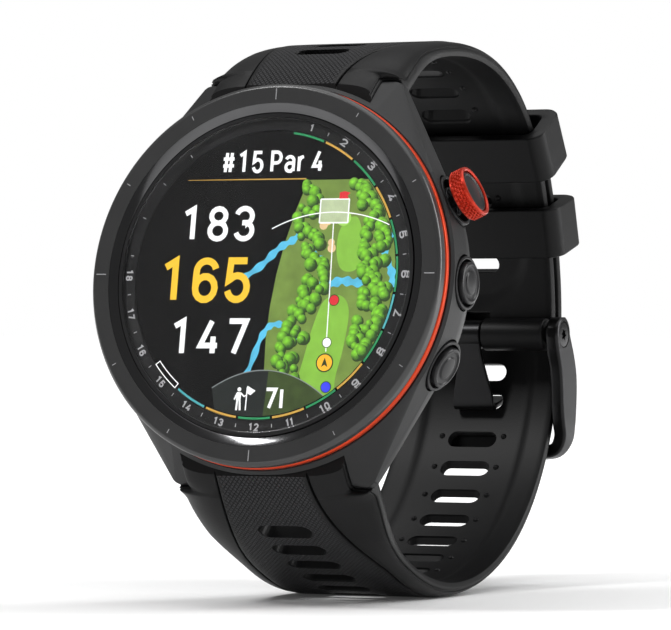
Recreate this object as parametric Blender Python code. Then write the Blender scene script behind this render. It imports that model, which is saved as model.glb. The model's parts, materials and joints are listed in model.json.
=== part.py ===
"""Golf GPS watch: round case on a closed rubber strap, standing on the strap and leaned back.

The watch is drawn in its own dial frame, in millimetres: +X to 3 o'clock, +Z to 12 o'clock and
+Y from the front of the bezel towards the wrist. One empty, watch_stand, leans that frame back
and lifts it so that the strap touches Z = 0. The strap runs round a circle, the loop, whose
axis is parallel to X; places on it are given as a radius and an angle, 0 at the back of the
wrist and positive towards 12 o'clock.
"""

import math

import bmesh
import bpy
from mathutils import Euler, Vector

MM = 0.001
LEAN_DEG = -9.7

# Case, bezel and glass, by radius from the dial axis and depth behind the bezel's front
BEZEL_RADIUS = 23.5
BEZEL_BACK = 1.6
GLASS_RADIUS = 19.3
GLASS_FRONT = 0.2
GLASS_BACK = 0.7
DIAL_FRONT = 0.85
DISPLAY_RADIUS = 17.75
ACCENT_RADIUS = 23.9
ACCENT_FRONT = 1.8
ACCENT_BACK = 2.6
CASE_FRONT = 2.8
CASE_BACK = 10.7
CASE_BORE = 20.2
LEDGE_BORE = 18.5
LEDGE_FRONT = 8.7
LEDGE_BACK = 9.5
COVER_SEAT_RADIUS = 21.5
COVER_RADIUS = 21.2
COVER_FRONT = 10.15
COVER_BACK = 10.9
SENSOR_FACE = 13.8
WINDOW_RADIUS = 9.6
SCREW_CIRCLE = 20.25

# Lugs: the plan outline at each depth is the hull of the round body and four lug tips
CASE_STEPS = 48
LUG_TIP_RADIUS = 1.0
#             depth, body radius, lug tip x, lug tip z
CASE_LEVELS = [
    (CASE_FRONT, 23.7, 12.0, 19.5),
    (3.2, 24.0, 12.0, 20.0),
    (6.9, 23.9, 13.0, 23.9),
    (8.0, 23.7, 13.0, 24.0),
    (9.6, 23.2, 14.2, 20.5),
    (CASE_BACK, 22.5, 15.0, 15.0),
]
LUG_GAP_HALF = 11.1
STRAP_NOTCH_Z = 21.2
STRAP_NOTCH_FRONT = 3.4

# Buttons, on radial axes; t is the distance from the dial axis along the button
BUTTON_DEPTH = 7.0
BUTTON_ANGLES = {"upper": 25.0, "middle": 0.0, "lower": -25.0}
STEM_RADIUS = 0.8
STEM_HOLE = 1.2
COLLAR_RADIUS = 3.25
COLLAR_BACK = 22.3
COLLAR_FRONT = 24.05
HEAD_RADIUS = 2.55
HEAD_BACK = 23.9
SPRING_SEAT = 22.8

# Strap loop
LOOP_DEPTH = 33.0
STRAP_INNER = 33.0
STRAP_OUTER = 35.1
STRAP_OUTER_REAR = 34.6
STRAP_OUTER_LUG = 38.0
NESTED_INNER = 30.7
NESTED_OUTER = 32.6
RISE_DEG = (20.0, 66.0)
RISE = 2.3
SWELL_DEG = (40.0, 105.0)
SWELL = 0.9
STRAP_END_DEG = 150.0
THICKENING_DEG = (104.0, 141.0)
FLARE_DEG = (131.0, 134.5)
TAPER_DEG = (62.0, 108.0)
LUG_HALF_WIDTH = 10.75
FLARE_HALF_WIDTH = 11.6
REAR_HALF_WIDTH = 10.7
LONG_TIP_DEG = 57.0
SLOT_HALF_LENGTH = 3.5
SLOT_HALF_HEIGHT = 1.15
STATION_STEP = 5.0

# Lug pins, in the strap's end
PIN_DEPTH = 7.0
PIN_Z = 23.3
PIN_TUBE_RADIUS = 1.0
PIN_HOLE_RADIUS = 1.3
PIN_TIP_RADIUS = 0.45
PIN_TIP_REACH = 12.3

# Buckle, about its bar
BUCKLE_DEPTH = 62.5
BUCKLE_Z = 3.0
BAR_RADIUS = 0.9
LOBE_RADIUS = 2.15
BAR_CLEARANCE = 0.3
TANG_SLOT_GAP = 1.95
ARM_INNER = 11.3
ARM_OUTER = 13.1
BUCKLE_BAR_RADII = (34.9, 36.1)
TANG_REACH = 10.08
TANG_HALF_THICKNESS = 0.36

# Keepers
KEEPER_ANGLES = {"upper": 50.0, "lower": 31.0}
KEEPER_WIDTH = 7.0
KEEPER_INWARD = 2.9
KEEPER_OUTWARD = 2.3


# ---------------------------------------------------------------- materials

PALETTE = {
    # name: (colour, roughness, metallic)
    "ceramic": ((0.075, 0.077, 0.08), 0.32, 0.0),
    "polymer": ((0.05, 0.051, 0.053), 0.55, 0.0),
    "accent": ((0.62, 0.07, 0.015), 0.35, 0.0),
    "red_metal": ((0.75, 0.05, 0.02), 0.35, 0.6),
    "rubber": ((0.022, 0.022, 0.023), 0.7, 0.0),
    "dark_steel": ((0.09, 0.09, 0.095), 0.28, 1.0),
    "steel": ((0.55, 0.55, 0.56), 0.3, 1.0),
    "glass": ((0.9, 0.92, 0.93), 0.02, 0.0),
    "ink": ((0.012, 0.012, 0.013), 0.4, 0.0),
    "screen": ((0.02, 0.09, 0.02), 0.25, 0.0),
    "board": ((0.02, 0.16, 0.07), 0.5, 0.0),
    "tinplate": ((0.6, 0.6, 0.58), 0.35, 1.0),
    "foil": ((0.35, 0.36, 0.38), 0.4, 0.6),
    "gold": ((0.83, 0.6, 0.25), 0.25, 1.0),
}


def make_material(name):
    colour, roughness, metallic = PALETTE[name]
    material = bpy.data.materials.new(name)
    material.use_nodes = True
    shader = material.node_tree.nodes["Principled BSDF"]
    shader.inputs["Base Color"].default_value = (*colour, 1.0)
    shader.inputs["Roughness"].default_value = roughness
    shader.inputs["Metallic"].default_value = metallic
    return material


# ---------------------------------------------------------------- mesh helpers

def finish(bm, name, material, location=(0, 0, 0), tilt=(0, 0, 0)):
    """Turns a bmesh in millimetres into an object on the stand."""
    bmesh.ops.remove_doubles(bm, verts=bm.verts, dist=1e-4)
    bmesh.ops.recalc_face_normals(bm, faces=bm.faces)
    bmesh.ops.scale(bm, vec=(MM, MM, MM), verts=bm.verts)
    mesh = bpy.data.meshes.new(name)
    bm.to_mesh(mesh)
    bm.free()
    mesh.shade_smooth()
    mesh.set_sharp_from_angle(angle=math.radians(35))
    if material:
        mesh.materials.append(materials[material])
    obj = bpy.data.objects.new(name, mesh)
    bpy.context.scene.collection.objects.link(obj)
    obj.parent = stand
    obj.location = Vector(location) * MM
    obj.rotation_euler = Euler(tilt)
    return obj


def add_turned(bm, profile, segments, axis):
    """Spins a profile of (radius, along) points about the X or the Y axis."""
    if axis == "Y":
        points = [bm.verts.new((radius, along, 0)) for radius, along in profile]
        direction = (0, 1, 0)
    else:
        points = [bm.verts.new((along, radius, 0)) for radius, along in profile]
        direction = (1, 0, 0)
    edges = [bm.edges.new(pair) for pair in zip(points, points[1:])]
    if profile[0][0] > 0:
        edges.append(bm.edges.new((points[-1], points[0])))
    bmesh.ops.spin(bm, geom=points + edges, cent=(0, 0, 0), axis=direction,
                   angle=2 * math.pi, steps=segments, use_merge=True)


def turned(name, profile, material, segments=36, axis="Y", **place):
    """A turned piece. A profile that starts on the axis is a disc, and any other is a ring."""
    bm = bmesh.new()
    add_turned(bm, profile, segments, axis)
    return finish(bm, name, material, **place)


def disc(radius, front, back):
    return [(0, front), (radius, front), (radius, back), (0, back)]


def ring(inner, outer, front, back):
    return [(inner, front), (outer, front), (outer, back), (inner, back)]


def add_box(bm, low, high):
    made = bmesh.ops.create_cube(bm, size=1.0)
    size = Vector(high) - Vector(low)
    middle = (Vector(high) + Vector(low)) / 2
    bmesh.ops.scale(bm, vec=size, verts=made["verts"])
    bmesh.ops.translate(bm, vec=middle, verts=made["verts"])


def boxes(name, corners, material, **place):
    bm = bmesh.new()
    for low, high in corners:
        add_box(bm, low, high)
    return finish(bm, name, material, **place)


def add_loft(bm, rings, closed=False):
    """Joins rings of points, each with the same count, and caps both ends unless it closes."""
    loops = [[bm.verts.new(point) for point in points] for points in rings]
    following = loops[1:] + loops[:1] if closed else loops[1:]
    for here, there in zip(loops, following):
        count = len(here)
        for n in range(count):
            bm.faces.new((here[n], here[(n + 1) % count], there[(n + 1) % count], there[n]))
    if not closed:
        bm.faces.new(loops[0])
        bm.faces.new(loops[-1])


def loft(name, rings, material, closed=False, **place):
    bm = bmesh.new()
    add_loft(bm, rings, closed)
    return finish(bm, name, material, **place)


def as_tool(obj):
    obj.hide_render = True
    obj.display_type = "WIRE"
    return obj


def boolean(obj, tool, operation):
    modifier = obj.modifiers.new(operation.lower(), "BOOLEAN")
    modifier.operation = operation
    modifier.solver = "EXACT"
    modifier.object = as_tool(tool)


def cut(obj, tool):
    boolean(obj, tool, "DIFFERENCE")


def unite(obj, tool):
    boolean(obj, tool, "UNION")


def smooth(value, low, high):
    """Runs from 0 at low to 1 at high with level ends."""
    t = min(max((value - low) / (high - low), 0.0), 1.0)
    return t * t * (3 - 2 * t)


def on_button(name):
    """Placement whose local +X is the button's axis, pointing out of the case."""
    return {"location": (0, BUTTON_DEPTH, 0), "tilt": (0, -math.radians(BUTTON_ANGLES[name]), 0)}


def coil_rings(turns, radius, wire, start, end, steps=9, sides=4):
    """Sections of a spring wire wound about X from start to end."""
    rings = []
    count = int(turns * steps)
    for n in range(count + 1):
        angle = 2 * math.pi * turns * n / count
        along = start + wire + (end - start - 2 * wire) * n / count
        section = []
        for side in range(sides):
            around = 2 * math.pi * (side + 0.5) / sides
            out = radius + wire * math.cos(around)
            section.append((along + wire * math.sin(around), out * math.cos(angle),
                            out * math.sin(angle)))
        rings.append(section)
    return rings


# ---------------------------------------------------------------- case

def case_outline(body_radius, tip_x, tip_z):
    """Hull of the body circle and the lug tips, one point for each outward direction."""
    discs = [(0, 0, body_radius)]
    discs += [(sx * tip_x, sz * tip_z, LUG_TIP_RADIUS) for sx in (-1, 1) for sz in (-1, 1)]
    outline = []
    for n in range(CASE_STEPS):
        angle = 2 * math.pi * (n + 0.5) / CASE_STEPS
        dx, dz = math.cos(angle), math.sin(angle)
        x, z, radius = max(discs, key=lambda d: d[0] * dx + d[1] * dz + d[2])
        outline.append((x + radius * dx, z + radius * dz))
    return outline


def make_case():
    rings = [[(x, depth, z) for x, z in case_outline(radius, tip_x, tip_z)]
             for depth, radius, tip_x, tip_z in CASE_LEVELS]
    case = loft("case_body", rings, "polymer")
    bore = [(0, 1.0), (CASE_BORE, 1.0), (CASE_BORE, LEDGE_FRONT), (LEDGE_BORE, LEDGE_FRONT),
            (LEDGE_BORE, LEDGE_BACK), (COVER_SEAT_RADIUS, LEDGE_BACK),
            (COVER_SEAT_RADIUS, 12.0), (0, 12.0)]
    cut(case, turned("case_bore_tool", bore, None))
    notches = []
    for low_z, high_z in ((STRAP_NOTCH_Z, 30.0), (-30.0, -STRAP_NOTCH_Z)):
        notches.append(((-LUG_GAP_HALF, STRAP_NOTCH_FRONT, low_z), (LUG_GAP_HALF, 12.0, high_z)))
    cut(case, boxes("strap_notch_tool", notches, None))
    for name in BUTTON_ANGLES:
        seat = [(0, 18.0), (STEM_HOLE, 18.0), (STEM_HOLE, COLLAR_BACK - 0.3),
                (COLLAR_RADIUS + 0.3, COLLAR_BACK - 0.3), (COLLAR_RADIUS + 0.3, 27.0), (0, 27.0)]
        cut(case, turned(f"button_seat_tool_{name}", seat, None, 18, "X", **on_button(name)))
    for side in (-1, 1):
        hole = [(0, -PIN_TIP_REACH - 0.5), (0.8, -PIN_TIP_REACH - 0.5),
                (0.8, PIN_TIP_REACH + 0.5), (0, PIN_TIP_REACH + 0.5)]
        cut(case, turned(f"lug_hole_tool_{side}", hole, None, 12, "X",
                         location=(0, PIN_DEPTH, side * PIN_Z)))
    for n in range(4):
        hole = disc(0.65, LEDGE_FRONT - 1.0, LEDGE_BACK + 1.0)
        cut(case, turned(f"ledge_hole_tool_{n}", hole, None, 10, location=screw_place(n)))


def screw_place(n):
    angle = math.radians(45 + 90 * n)
    return (SCREW_CIRCLE * math.cos(angle), 0, SCREW_CIRCLE * math.sin(angle))


def make_front():
    bezel = [(19.95, 0.42), (21.1, 0.0), (23.1, 0.0), (BEZEL_RADIUS, 0.4),
             (BEZEL_RADIUS, BEZEL_BACK), (19.9, BEZEL_BACK), (19.9, 4.0), (19.3, 4.0),
             (19.3, 1.9), (18.1, 1.9), (18.1, 1.45), (19.95, 1.45)]
    turned("bezel_ring", bezel, "ceramic", 48)
    accent = [(20.5, ACCENT_FRONT), (23.6, ACCENT_FRONT), (ACCENT_RADIUS, 2.0),
              (ACCENT_RADIUS, 2.4), (23.6, ACCENT_BACK), (20.5, ACCENT_BACK)]
    turned("accent_ring", accent, "accent", 48)
    turned("cover_glass", disc(GLASS_RADIUS, GLASS_FRONT, GLASS_BACK), "glass", 48)
    turned("glass_gasket", ring(19.45, 19.8, 0.35, 0.75), "rubber")
    turned("dial_ring", ring(17.9, 19.7, DIAL_FRONT, 1.25), "ink")
    turned("display_panel", disc(DISPLAY_RADIUS, DIAL_FRONT, 1.6), "screen")


def make_inside():
    turned("display_chassis", disc(19.0, 2.2, 2.8), "tinplate")
    turned("antenna_ring", ring(18.3, 19.0, 3.1, 4.1), "gold")
    turned("main_board", disc(17.9, 3.2, 4.0), "board")
    boxes("shield_can", [((-9.0, 4.2, -6.0), (7.0, 5.0, 6.0))], "tinplate")
    turned("battery", [(0, 5.3), (13.4, 5.3), (14.0, 5.9), (14.0, 8.0), (13.4, 8.6), (0, 8.6)],
           "foil", 36, location=(-3.0, 0, 0))
    turned("vibration_motor", disc(3.3, 4.6, 7.2), "steel", 20, location=(11.0, 0, -11.5))
    for name in BUTTON_ANGLES:
        switch = boxes(f"button_switch_{name}", [((16.8, -1.0, -1.6), (18.1, 0.8, 1.6))],
                       "ink", **on_button(name))
        plunger = disc(0.6, 18.0, 18.5)
        unite(switch, turned(f"switch_plunger_tool_{name}", plunger, None, 8, "X",
                             **on_button(name)))


def make_back():
    cover = [(9.9, SENSOR_FACE), (12.4, 13.5), (15.4, 11.4), (COVER_RADIUS, COVER_BACK),
             (COVER_RADIUS, COVER_FRONT), (14.8, COVER_FRONT), (12.0, 12.5), (9.9, 13.0)]
    rear_cover = turned("rear_cover", cover, "polymer")
    port_hole = [((-3.9, 9.0, -18.1), (3.9, 12.0, -14.9))]
    cut(rear_cover, boxes("port_hole_tool", port_hole, None))
    for n in range(4):
        pocket = [(0, 9.5), (0.6, 9.5), (0.6, 10.5), (1.0, 10.5), (1.0, 12.0), (0, 12.0)]
        cut(rear_cover, turned(f"screw_pocket_tool_{n}", pocket, None, 10,
                               location=screw_place(n)))
        screw = [(0, 8.4), (0.4, 8.4), (0.4, 10.65), (0.8, 10.65), (0.8, 11.0), (0.3, 11.0),
                 (0.3, 10.8), (0, 10.8)]
        turned(f"rear_cover_screw_{n + 1}", screw, "steel", 10, location=screw_place(n))
    turned("rear_gasket", ring(18.75, 19.35, 9.65, 10.0), "rubber")
    turned("sensor_window", disc(WINDOW_RADIUS, 13.15, SENSOR_FACE), "glass", 40)
    board = turned("sensor_board", disc(9.0, 11.6, 12.3), "board", 32)
    diodes = [((x - 0.9, 12.2, z - 0.9), (x + 0.9, 12.8, z + 0.9))
              for x, z in ((0, 0), (-5, 0), (5, 0), (0, 5), (0, -5))]
    unite(board, boxes("sensor_diodes_tool", diodes, None))
    port = boxes("charging_port", [((-3.6, 10.3, -17.8), (3.6, 11.0, -15.2))], "ink")
    pins = [((x - 0.45, 10.9, -17.0), (x + 0.45, 11.3, -16.0)) for x in (-2.4, -0.8, 0.8, 2.4)]
    unite(port, boxes("charging_pins_tool", pins, None))


# ---------------------------------------------------------------- buttons

def knurl_outline(inner_radius, outer_radius, teeth):
    outline = []
    for n in range(2 * teeth):
        angle = math.pi * n / teeth
        radius = outer_radius if n % 2 else inner_radius
        outline.append((radius * math.cos(angle), radius * math.sin(angle)))
    return outline


def make_button(name):
    place = on_button(name)
    collar = [(STEM_HOLE, COLLAR_BACK), (COLLAR_RADIUS, COLLAR_BACK),
              (COLLAR_RADIUS, COLLAR_FRONT - 0.15), (COLLAR_RADIUS - 0.15, COLLAR_FRONT),
              (2.85, COLLAR_FRONT), (2.85, 22.7), (STEM_HOLE, 22.7)]
    turned(f"button_{name}_collar", collar, "polymer", 20, "X", **place)
    if name == "upper":
        head = [(HEAD_RADIUS, 24.6), (HEAD_RADIUS, 26.45), (HEAD_RADIUS - 0.25, 26.65),
                (0, 26.7)]
    else:
        head = [(HEAD_RADIUS, HEAD_BACK), (HEAD_RADIUS, 24.45), (HEAD_RADIUS - 0.2, 24.6),
                (1.8, 24.6), (1.5, 24.4), (1.1, 24.55), (0, 24.6)]
    stem = [(0, 19.2), (STEM_RADIUS, 19.2), (STEM_RADIUS, 19.65), (0.5, 19.65), (0.5, 20.05),
            (STEM_RADIUS, 20.05), (STEM_RADIUS, 20.9), (0.55, 20.9), (0.55, 21.5),
            (STEM_RADIUS, 21.5), (STEM_RADIUS, head[0][1])]
    turned(f"button_{name}_cap", stem + head, "polymer", 16, "X", **place)
    turned(f"button_{name}_clip", ring(0.65, 1.5, 19.75, 19.95), "steel", 12, "X", **place)
    seal = [(0.86 + 0.18 * math.cos(a), 21.2 + 0.18 * math.sin(a))
            for a in (2 * math.pi * n / 6 for n in range(6))]
    turned(f"button_{name}_seal", seal, "rubber", 12, "X", **place)
    wire = coil_rings(2.5, 1.75, 0.12, SPRING_SEAT, HEAD_BACK - 0.05)
    loft(f"button_{name}_spring", wire, "steel", **place)


def make_grip():
    """Knurled ring round the upper button's head."""
    outer = knurl_outline(2.98, 3.2, 18)
    inner = knurl_outline(2.7, 2.7, 18)
    low, high = 24.75, 26.8
    rings = [[(low, y, z) for y, z in outer], [(high, y, z) for y, z in outer],
             [(high, y, z) for y, z in inner], [(low, y, z) for y, z in inner]]
    loft("button_upper_grip", rings, "red_metal", closed=True, **on_button("upper"))


# ---------------------------------------------------------------- strap

def half_width(degrees):
    angle = abs(degrees)
    if angle >= FLARE_DEG[0]:
        flare = smooth(angle, *FLARE_DEG)
        return FLARE_HALF_WIDTH + (LUG_HALF_WIDTH - FLARE_HALF_WIDTH) * flare
    taper = smooth(angle, *TAPER_DEG)
    return REAR_HALF_WIDTH + (FLARE_HALF_WIDTH - REAR_HALF_WIDTH) * taper


def rise(degrees):
    """How far both straps swell outwards where they overlap above the back of the wrist."""
    return RISE * smooth(degrees, *RISE_DEG) + swell(degrees)


def swell(degrees):
    """A slight fullness at the top of the loop."""
    low, high = SWELL_DEG
    if not low < degrees < high:
        return 0.0
    return SWELL * math.sin(math.pi * (degrees - low) / (high - low)) ** 2


def strap_radii(degrees, nested):
    """Inner and outer radius of a strap. The nested one lies inside the other at the back."""
    if nested and degrees < RISE_DEG[1]:
        share = smooth(degrees, *RISE_DEG)
        full = swell(degrees)
        return (NESTED_INNER + (STRAP_INNER - NESTED_INNER) * share + full,
                NESTED_OUTER + (STRAP_OUTER - NESTED_OUTER) * share + full)
    angle = abs(degrees)
    outer = STRAP_OUTER
    if not nested:
        outer += (STRAP_OUTER_REAR - STRAP_OUTER) * (1 - smooth(angle, 60.0, 90.0))
    outer += (STRAP_OUTER_LUG - STRAP_OUTER) * smooth(angle, *THICKENING_DEG)
    lift = swell(degrees) if nested else rise(degrees)
    return STRAP_INNER + lift, outer + lift


def strap_section(degrees, nested, scale=1.0):
    """Ten-sided cross-section in the radial plane: a raised middle with sloping borders."""
    inner, outer = strap_radii(degrees, nested)
    half = half_width(degrees) * scale
    depth = outer - inner
    edge = inner + min(0.6 * depth, 2.0)
    right = [(half - 0.9, inner), (half, inner + 0.3 * depth), (half, edge),
             (0.82 * half, edge + 0.7 * (outer - edge)), (0.6 * half, outer)]
    section = right + [(-x, radius) for x, radius in reversed(right)]
    angle = math.radians(degrees)
    return [(x, LOOP_DEPTH + radius * math.cos(angle), radius * math.sin(angle))
            for x, radius in section]


def strap_frame(degrees):
    """Where the two straps meet at one angle: radius and centre of curvature, outward angle."""
    step = math.radians(0.5)
    angle = math.radians(degrees)
    base = (STRAP_INNER + NESTED_OUTER) / 2
    before, here, after = (base + rise(math.degrees(angle + n * step)) for n in (-1, 0, 1))
    slope = (after - before) / (2 * step)
    bend = (after - 2 * here + before) / step ** 2
    curvature = (here ** 2 + 2 * slope ** 2 - here * bend) / (here ** 2 + slope ** 2) ** 1.5
    outward = angle - math.atan2(slope, here)
    radius = 1 / curvature
    centre = (LOOP_DEPTH + here * math.cos(angle) - radius * math.cos(outward),
              here * math.sin(angle) - radius * math.sin(outward))
    return radius, centre, outward


def stations(start, end):
    """Angles from start to end, with extra ones where the strap flares past the lugs."""
    count = math.ceil(abs(end - start) / STATION_STEP)
    angles = [start + (end - start) * n / count for n in range(count + 1)]
    for flare in (*FLARE_DEG, sum(FLARE_DEG) / 2):
        angles += [a for a in (flare, -flare) if min(start, end) < a < max(start, end)]
    return sorted(set(angles))


def slot_tool(name, angles):
    """Round-ended bars that cross the strap's thickness at each of the angles."""
    bm = bmesh.new()
    for degrees in angles:
        angle = math.radians(degrees)
        out = Vector((0, math.cos(angle), math.sin(angle)))
        along = Vector((0, -math.sin(angle), math.cos(angle)))
        outline = []
        for side in (1, -1):
            for n in range(4):
                turn = math.radians(-67.5 + 45 * n)
                x = side * (SLOT_HALF_LENGTH - SLOT_HALF_HEIGHT
                            + SLOT_HALF_HEIGHT * math.cos(turn))
                outline.append((x, side * SLOT_HALF_HEIGHT * math.sin(turn)))
        rings = []
        for radius in (29.5, 40.0):
            rings.append([Vector((x, LOOP_DEPTH, 0)) + out * radius + along * s
                          for x, s in outline])
        add_loft(bm, rings)
    return finish(bm, name, None)


def long_slot_angles():
    """Slots of the long strap: even along the rubber, so closer in angle where it is thicker."""
    below = [-10.75 - 8.25 * n + 0.04 * n * n for n in range(16)]
    above = [-2.6 + 8.5 * n for n in range(6)]
    return below + above


def short_slot_angles():
    return [23.3 + 7.85 * n for n in range(14)]


def cut_strap_end(strap, name, side):
    """Trims a strap's end between the lugs, and makes room for its pin and latch."""
    end_front = STRAP_NOTCH_FRONT + 0.3
    end_z = STRAP_NOTCH_Z + 0.3
    trims = [((-20, -8.0, -40.0), (20, end_front, 40.0))]
    low_z, high_z = sorted((0.0, side * end_z))
    trims.append(((-20, end_front - 1.0, low_z), (20, 12.0, high_z)))
    for n, trim in enumerate(trims):
        cut(strap, boxes(f"{name}_trim_tool_{n}", [trim], None))
    tunnel = disc(PIN_HOLE_RADIUS, -15.0, 15.0)
    cut(strap, turned(f"{name}_pin_tunnel_tool", tunnel, None, 14, "X",
                      location=(0, PIN_DEPTH, side * PIN_Z)))
    window = [((4.6, -6.0, -0.9), (9.9, 0.0, 0.9))]
    cut(strap, boxes(f"{name}_latch_window_tool", window, None, **on_pin(side)))


def on_pin(side):
    """Placement on a lug pin with local +Y pointing out of the loop."""
    angle = math.atan2(side * PIN_Z, PIN_DEPTH - LOOP_DEPTH)
    return {"location": (0, PIN_DEPTH, side * PIN_Z), "tilt": (angle, 0, 0)}


def make_long_strap():
    rings = [strap_section(a, False) for a in stations(-STRAP_END_DEG, 50.0)]
    for n in range(1, 5):
        turn = math.radians(20 * n)
        rings.append(strap_section(50.0 + (LONG_TIP_DEG - 50.0) * math.sin(turn), False,
                                   scale=0.35 + 0.65 * math.cos(turn)))
    strap = loft("strap_long", rings, "rubber")
    cut(strap, slot_tool("strap_long_slot_tool", long_slot_angles()))
    cut_strap_end(strap, "strap_long", -1)


def make_short_strap():
    lowest = 9.0
    rings = [strap_section(a, True) for a in stations(lowest, STRAP_END_DEG)]
    strap = loft("strap_short", rings, "rubber")
    at_bar = {"location": (0, BUCKLE_DEPTH, BUCKLE_Z)}
    lobes = disc(LOBE_RADIUS, -REAR_HALF_WIDTH, REAR_HALF_WIDTH)
    unite(strap, turned("strap_short_lobe_tool", lobes, None, 20, "X", **at_bar))
    tunnel = disc(BAR_RADIUS + BAR_CLEARANCE, -15.0, 15.0)
    cut(strap, turned("strap_short_bar_tunnel_tool", tunnel, None, 14, "X", **at_bar))
    gap = [((-TANG_SLOT_GAP, -4.0, -4.0), (TANG_SLOT_GAP, 4.0, 3.2))]
    cut(strap, boxes("strap_short_tang_gap_tool", gap, None, **at_bar))
    cut(strap, slot_tool("strap_short_slot_tool", short_slot_angles()))
    cut_strap_end(strap, "strap_short", 1)


def make_pins():
    for end, side in (("top", 1), ("bottom", -1)):
        place = on_pin(side)
        tube = [(0, -PIN_TIP_REACH), (PIN_TIP_RADIUS, -PIN_TIP_REACH), (PIN_TIP_RADIUS, -10.6),
                (PIN_TUBE_RADIUS, -10.6), (PIN_TUBE_RADIUS, 10.6), (0.7, 10.6), (0.7, 3.0),
                (0, 3.0)]
        pin = turned(f"lug_pin_{end}", tube, "steel", 14, "X", **place)
        cut(pin, boxes(f"lug_pin_{end}_slot_tool", [((5.2, -2.0, -0.6), (9.3, 0.0, 0.6))], None,
                       **place))
        rod = disc(PIN_TIP_RADIUS, 6.2, PIN_TIP_REACH)
        latch = turned(f"lug_latch_{end}", rod, "steel", 12, "X", **place)
        knob = [((7.5, -2.5, -0.3), (8.7, 0.1, 0.3))]
        unite(latch, boxes(f"lug_latch_{end}_knob_tool", knob, None, **place))
        loft(f"lug_spring_{end}", coil_rings(4, 0.42, 0.08, 3.2, 6.0, steps=8), "steel",
             **place)


# ---------------------------------------------------------------- buckle and keepers

def from_bar(radius, degrees):
    """A place on the loop, as depth and height from the buckle's bar."""
    angle = math.radians(degrees)
    return (LOOP_DEPTH + radius * math.cos(angle) - BUCKLE_DEPTH,
            radius * math.sin(angle) - BUCKLE_Z)


def arm_outline():
    """Side view of a buckle arm about the bar: a round eye that sweeps out and down."""
    #        middle y, middle z, half width
    spine = [(1.6, -2.6, 1.75), (2.8, -5.0, 1.9), (3.5, -8.0, 2.0), (3.4, -11.0, 1.8),
             (2.9, -13.2, 1.6)]
    outer = [(y + half, z) for y, z, half in spine]
    inner = [(y - half, z) for y, z, half in spine]
    low, high = BUCKLE_BAR_RADII
    foot = [from_bar(high - 0.1, -20.0), from_bar(high - 0.5, -22.0), from_bar(low - 0.5, -22.6),
            from_bar(low - 1.4, -21.8)]
    eye = [(LOBE_RADIUS * math.cos(a), LOBE_RADIUS * math.sin(a))
           for a in (math.radians(200 - 25 * n) for n in range(9))]
    return eye + outer + foot + list(reversed(inner))


def make_buckle():
    at_bar = {"location": (0, BUCKLE_DEPTH, BUCKLE_Z)}
    outline = arm_outline()
    arms = {}
    for side in (-1, 1):
        rings = [[(side * x, y, z) for y, z in outline] for x in (ARM_INNER, ARM_OUTER)]
        name = "buckle_frame" if side < 0 else "buckle_right_arm_tool"
        arms[side] = loft(name, rings, "dark_steel", **at_bar)
    frame = arms[-1]
    unite(frame, arms[1])
    low, high = BUCKLE_BAR_RADII
    bar_outline = [from_bar(low, -17.5), from_bar(high - 0.3, -17.0), from_bar(high, -18.0),
                   from_bar(high, -20.5), from_bar(high - 0.3, -21.7), from_bar(low, -21.7)]
    front_bar = [[(x, y, z) for y, z in bar_outline] for x in (-ARM_INNER - 0.4, ARM_INNER + 0.4)]
    unite(frame, loft("buckle_front_bar_tool", front_bar, None, **at_bar))
    for side, label in ((-1, "left"), (1, "right")):
        seat = [(0, side * 11.0), (0.8, side * 11.0), (0.8, side * 12.2), (1.8, side * 12.2),
                (1.8, side * 14.0), (0, side * 14.0)]
        cut(frame, turned(f"buckle_{label}_seat_tool", seat, None, 16, "X", **at_bar))
        screw = [(0, side * 9.3), (0.45, side * 9.3), (0.45, side * 12.4), (1.55, side * 12.4),
                 (1.55, side * 13.0), (0.6, side * 13.0), (0.6, side * 12.7), (0, side * 12.7)]
        turned(f"buckle_screw_{label}", screw, "dark_steel", 16, "X", **at_bar)
    bar = disc(BAR_RADIUS, -11.0, 11.0)
    buckle_bar = turned("buckle_bar", bar, "dark_steel", 14, "X", **at_bar)
    for side in (-1, 1):
        thread = [(0, side * 8.9), (0.65, side * 8.9), (0.65, side * 12.0), (0, side * 12.0)]
        cut(buckle_bar, turned(f"buckle_thread_tool_{side}", thread, None, 10, "X", **at_bar))


def tang_sections():
    """Flat tongue from the bar towards the slot, then a hook on an arc about the bar."""
    path = [((0.3, -1.0), 1.65), ((0.15, -3.5), 1.7), ((-0.3, -6.0), 2.2)]
    for n in range(7):
        angle = math.radians(-102 + 8 * n)
        path.append(((TANG_REACH * math.cos(angle), TANG_REACH * math.sin(angle)), 2.8))
    rings = []
    for n, ((y, z), half) in enumerate(path):
        before = path[max(n - 1, 0)][0]
        after = path[min(n + 1, len(path) - 1)][0]
        along = Vector((after[0] - before[0], after[1] - before[1])).normalized()
        across = Vector((-along.y, along.x)) * TANG_HALF_THICKNESS
        rings.append([(x, y + s * across.x, z + s * across.y)
                      for x, s in ((half, 1), (half, -1), (-half, -1), (-half, 1))])
    return rings


def make_tang():
    at_bar = {"location": (0, BUCKLE_DEPTH, BUCKLE_Z)}
    tang = loft("buckle_tang", tang_sections(), "dark_steel", **at_bar)
    unite(tang, turned("buckle_tang_eye_tool", disc(1.9, -1.65, 1.65), None, 16, "X", **at_bar))
    tunnel = disc(BAR_RADIUS + 0.2, -5.0, 5.0)
    cut(tang, turned("buckle_tang_tunnel_tool", tunnel, None, 14, "X", **at_bar))


def rounded_band(half, low, high, corner, steps=3):
    """Outline of a rounded rectangle in x and radius."""
    centres = [(half - corner, high - corner, 0), (-half + corner, high - corner, 90),
               (-half + corner, low + corner, 180), (half - corner, low + corner, 270)]
    outline = []
    for x, radius, start in centres:
        for n in range(steps + 1):
            angle = math.radians(start + 90 * n / steps)
            outline.append((x + corner * math.cos(angle), radius + corner * math.sin(angle)))
    return outline


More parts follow.
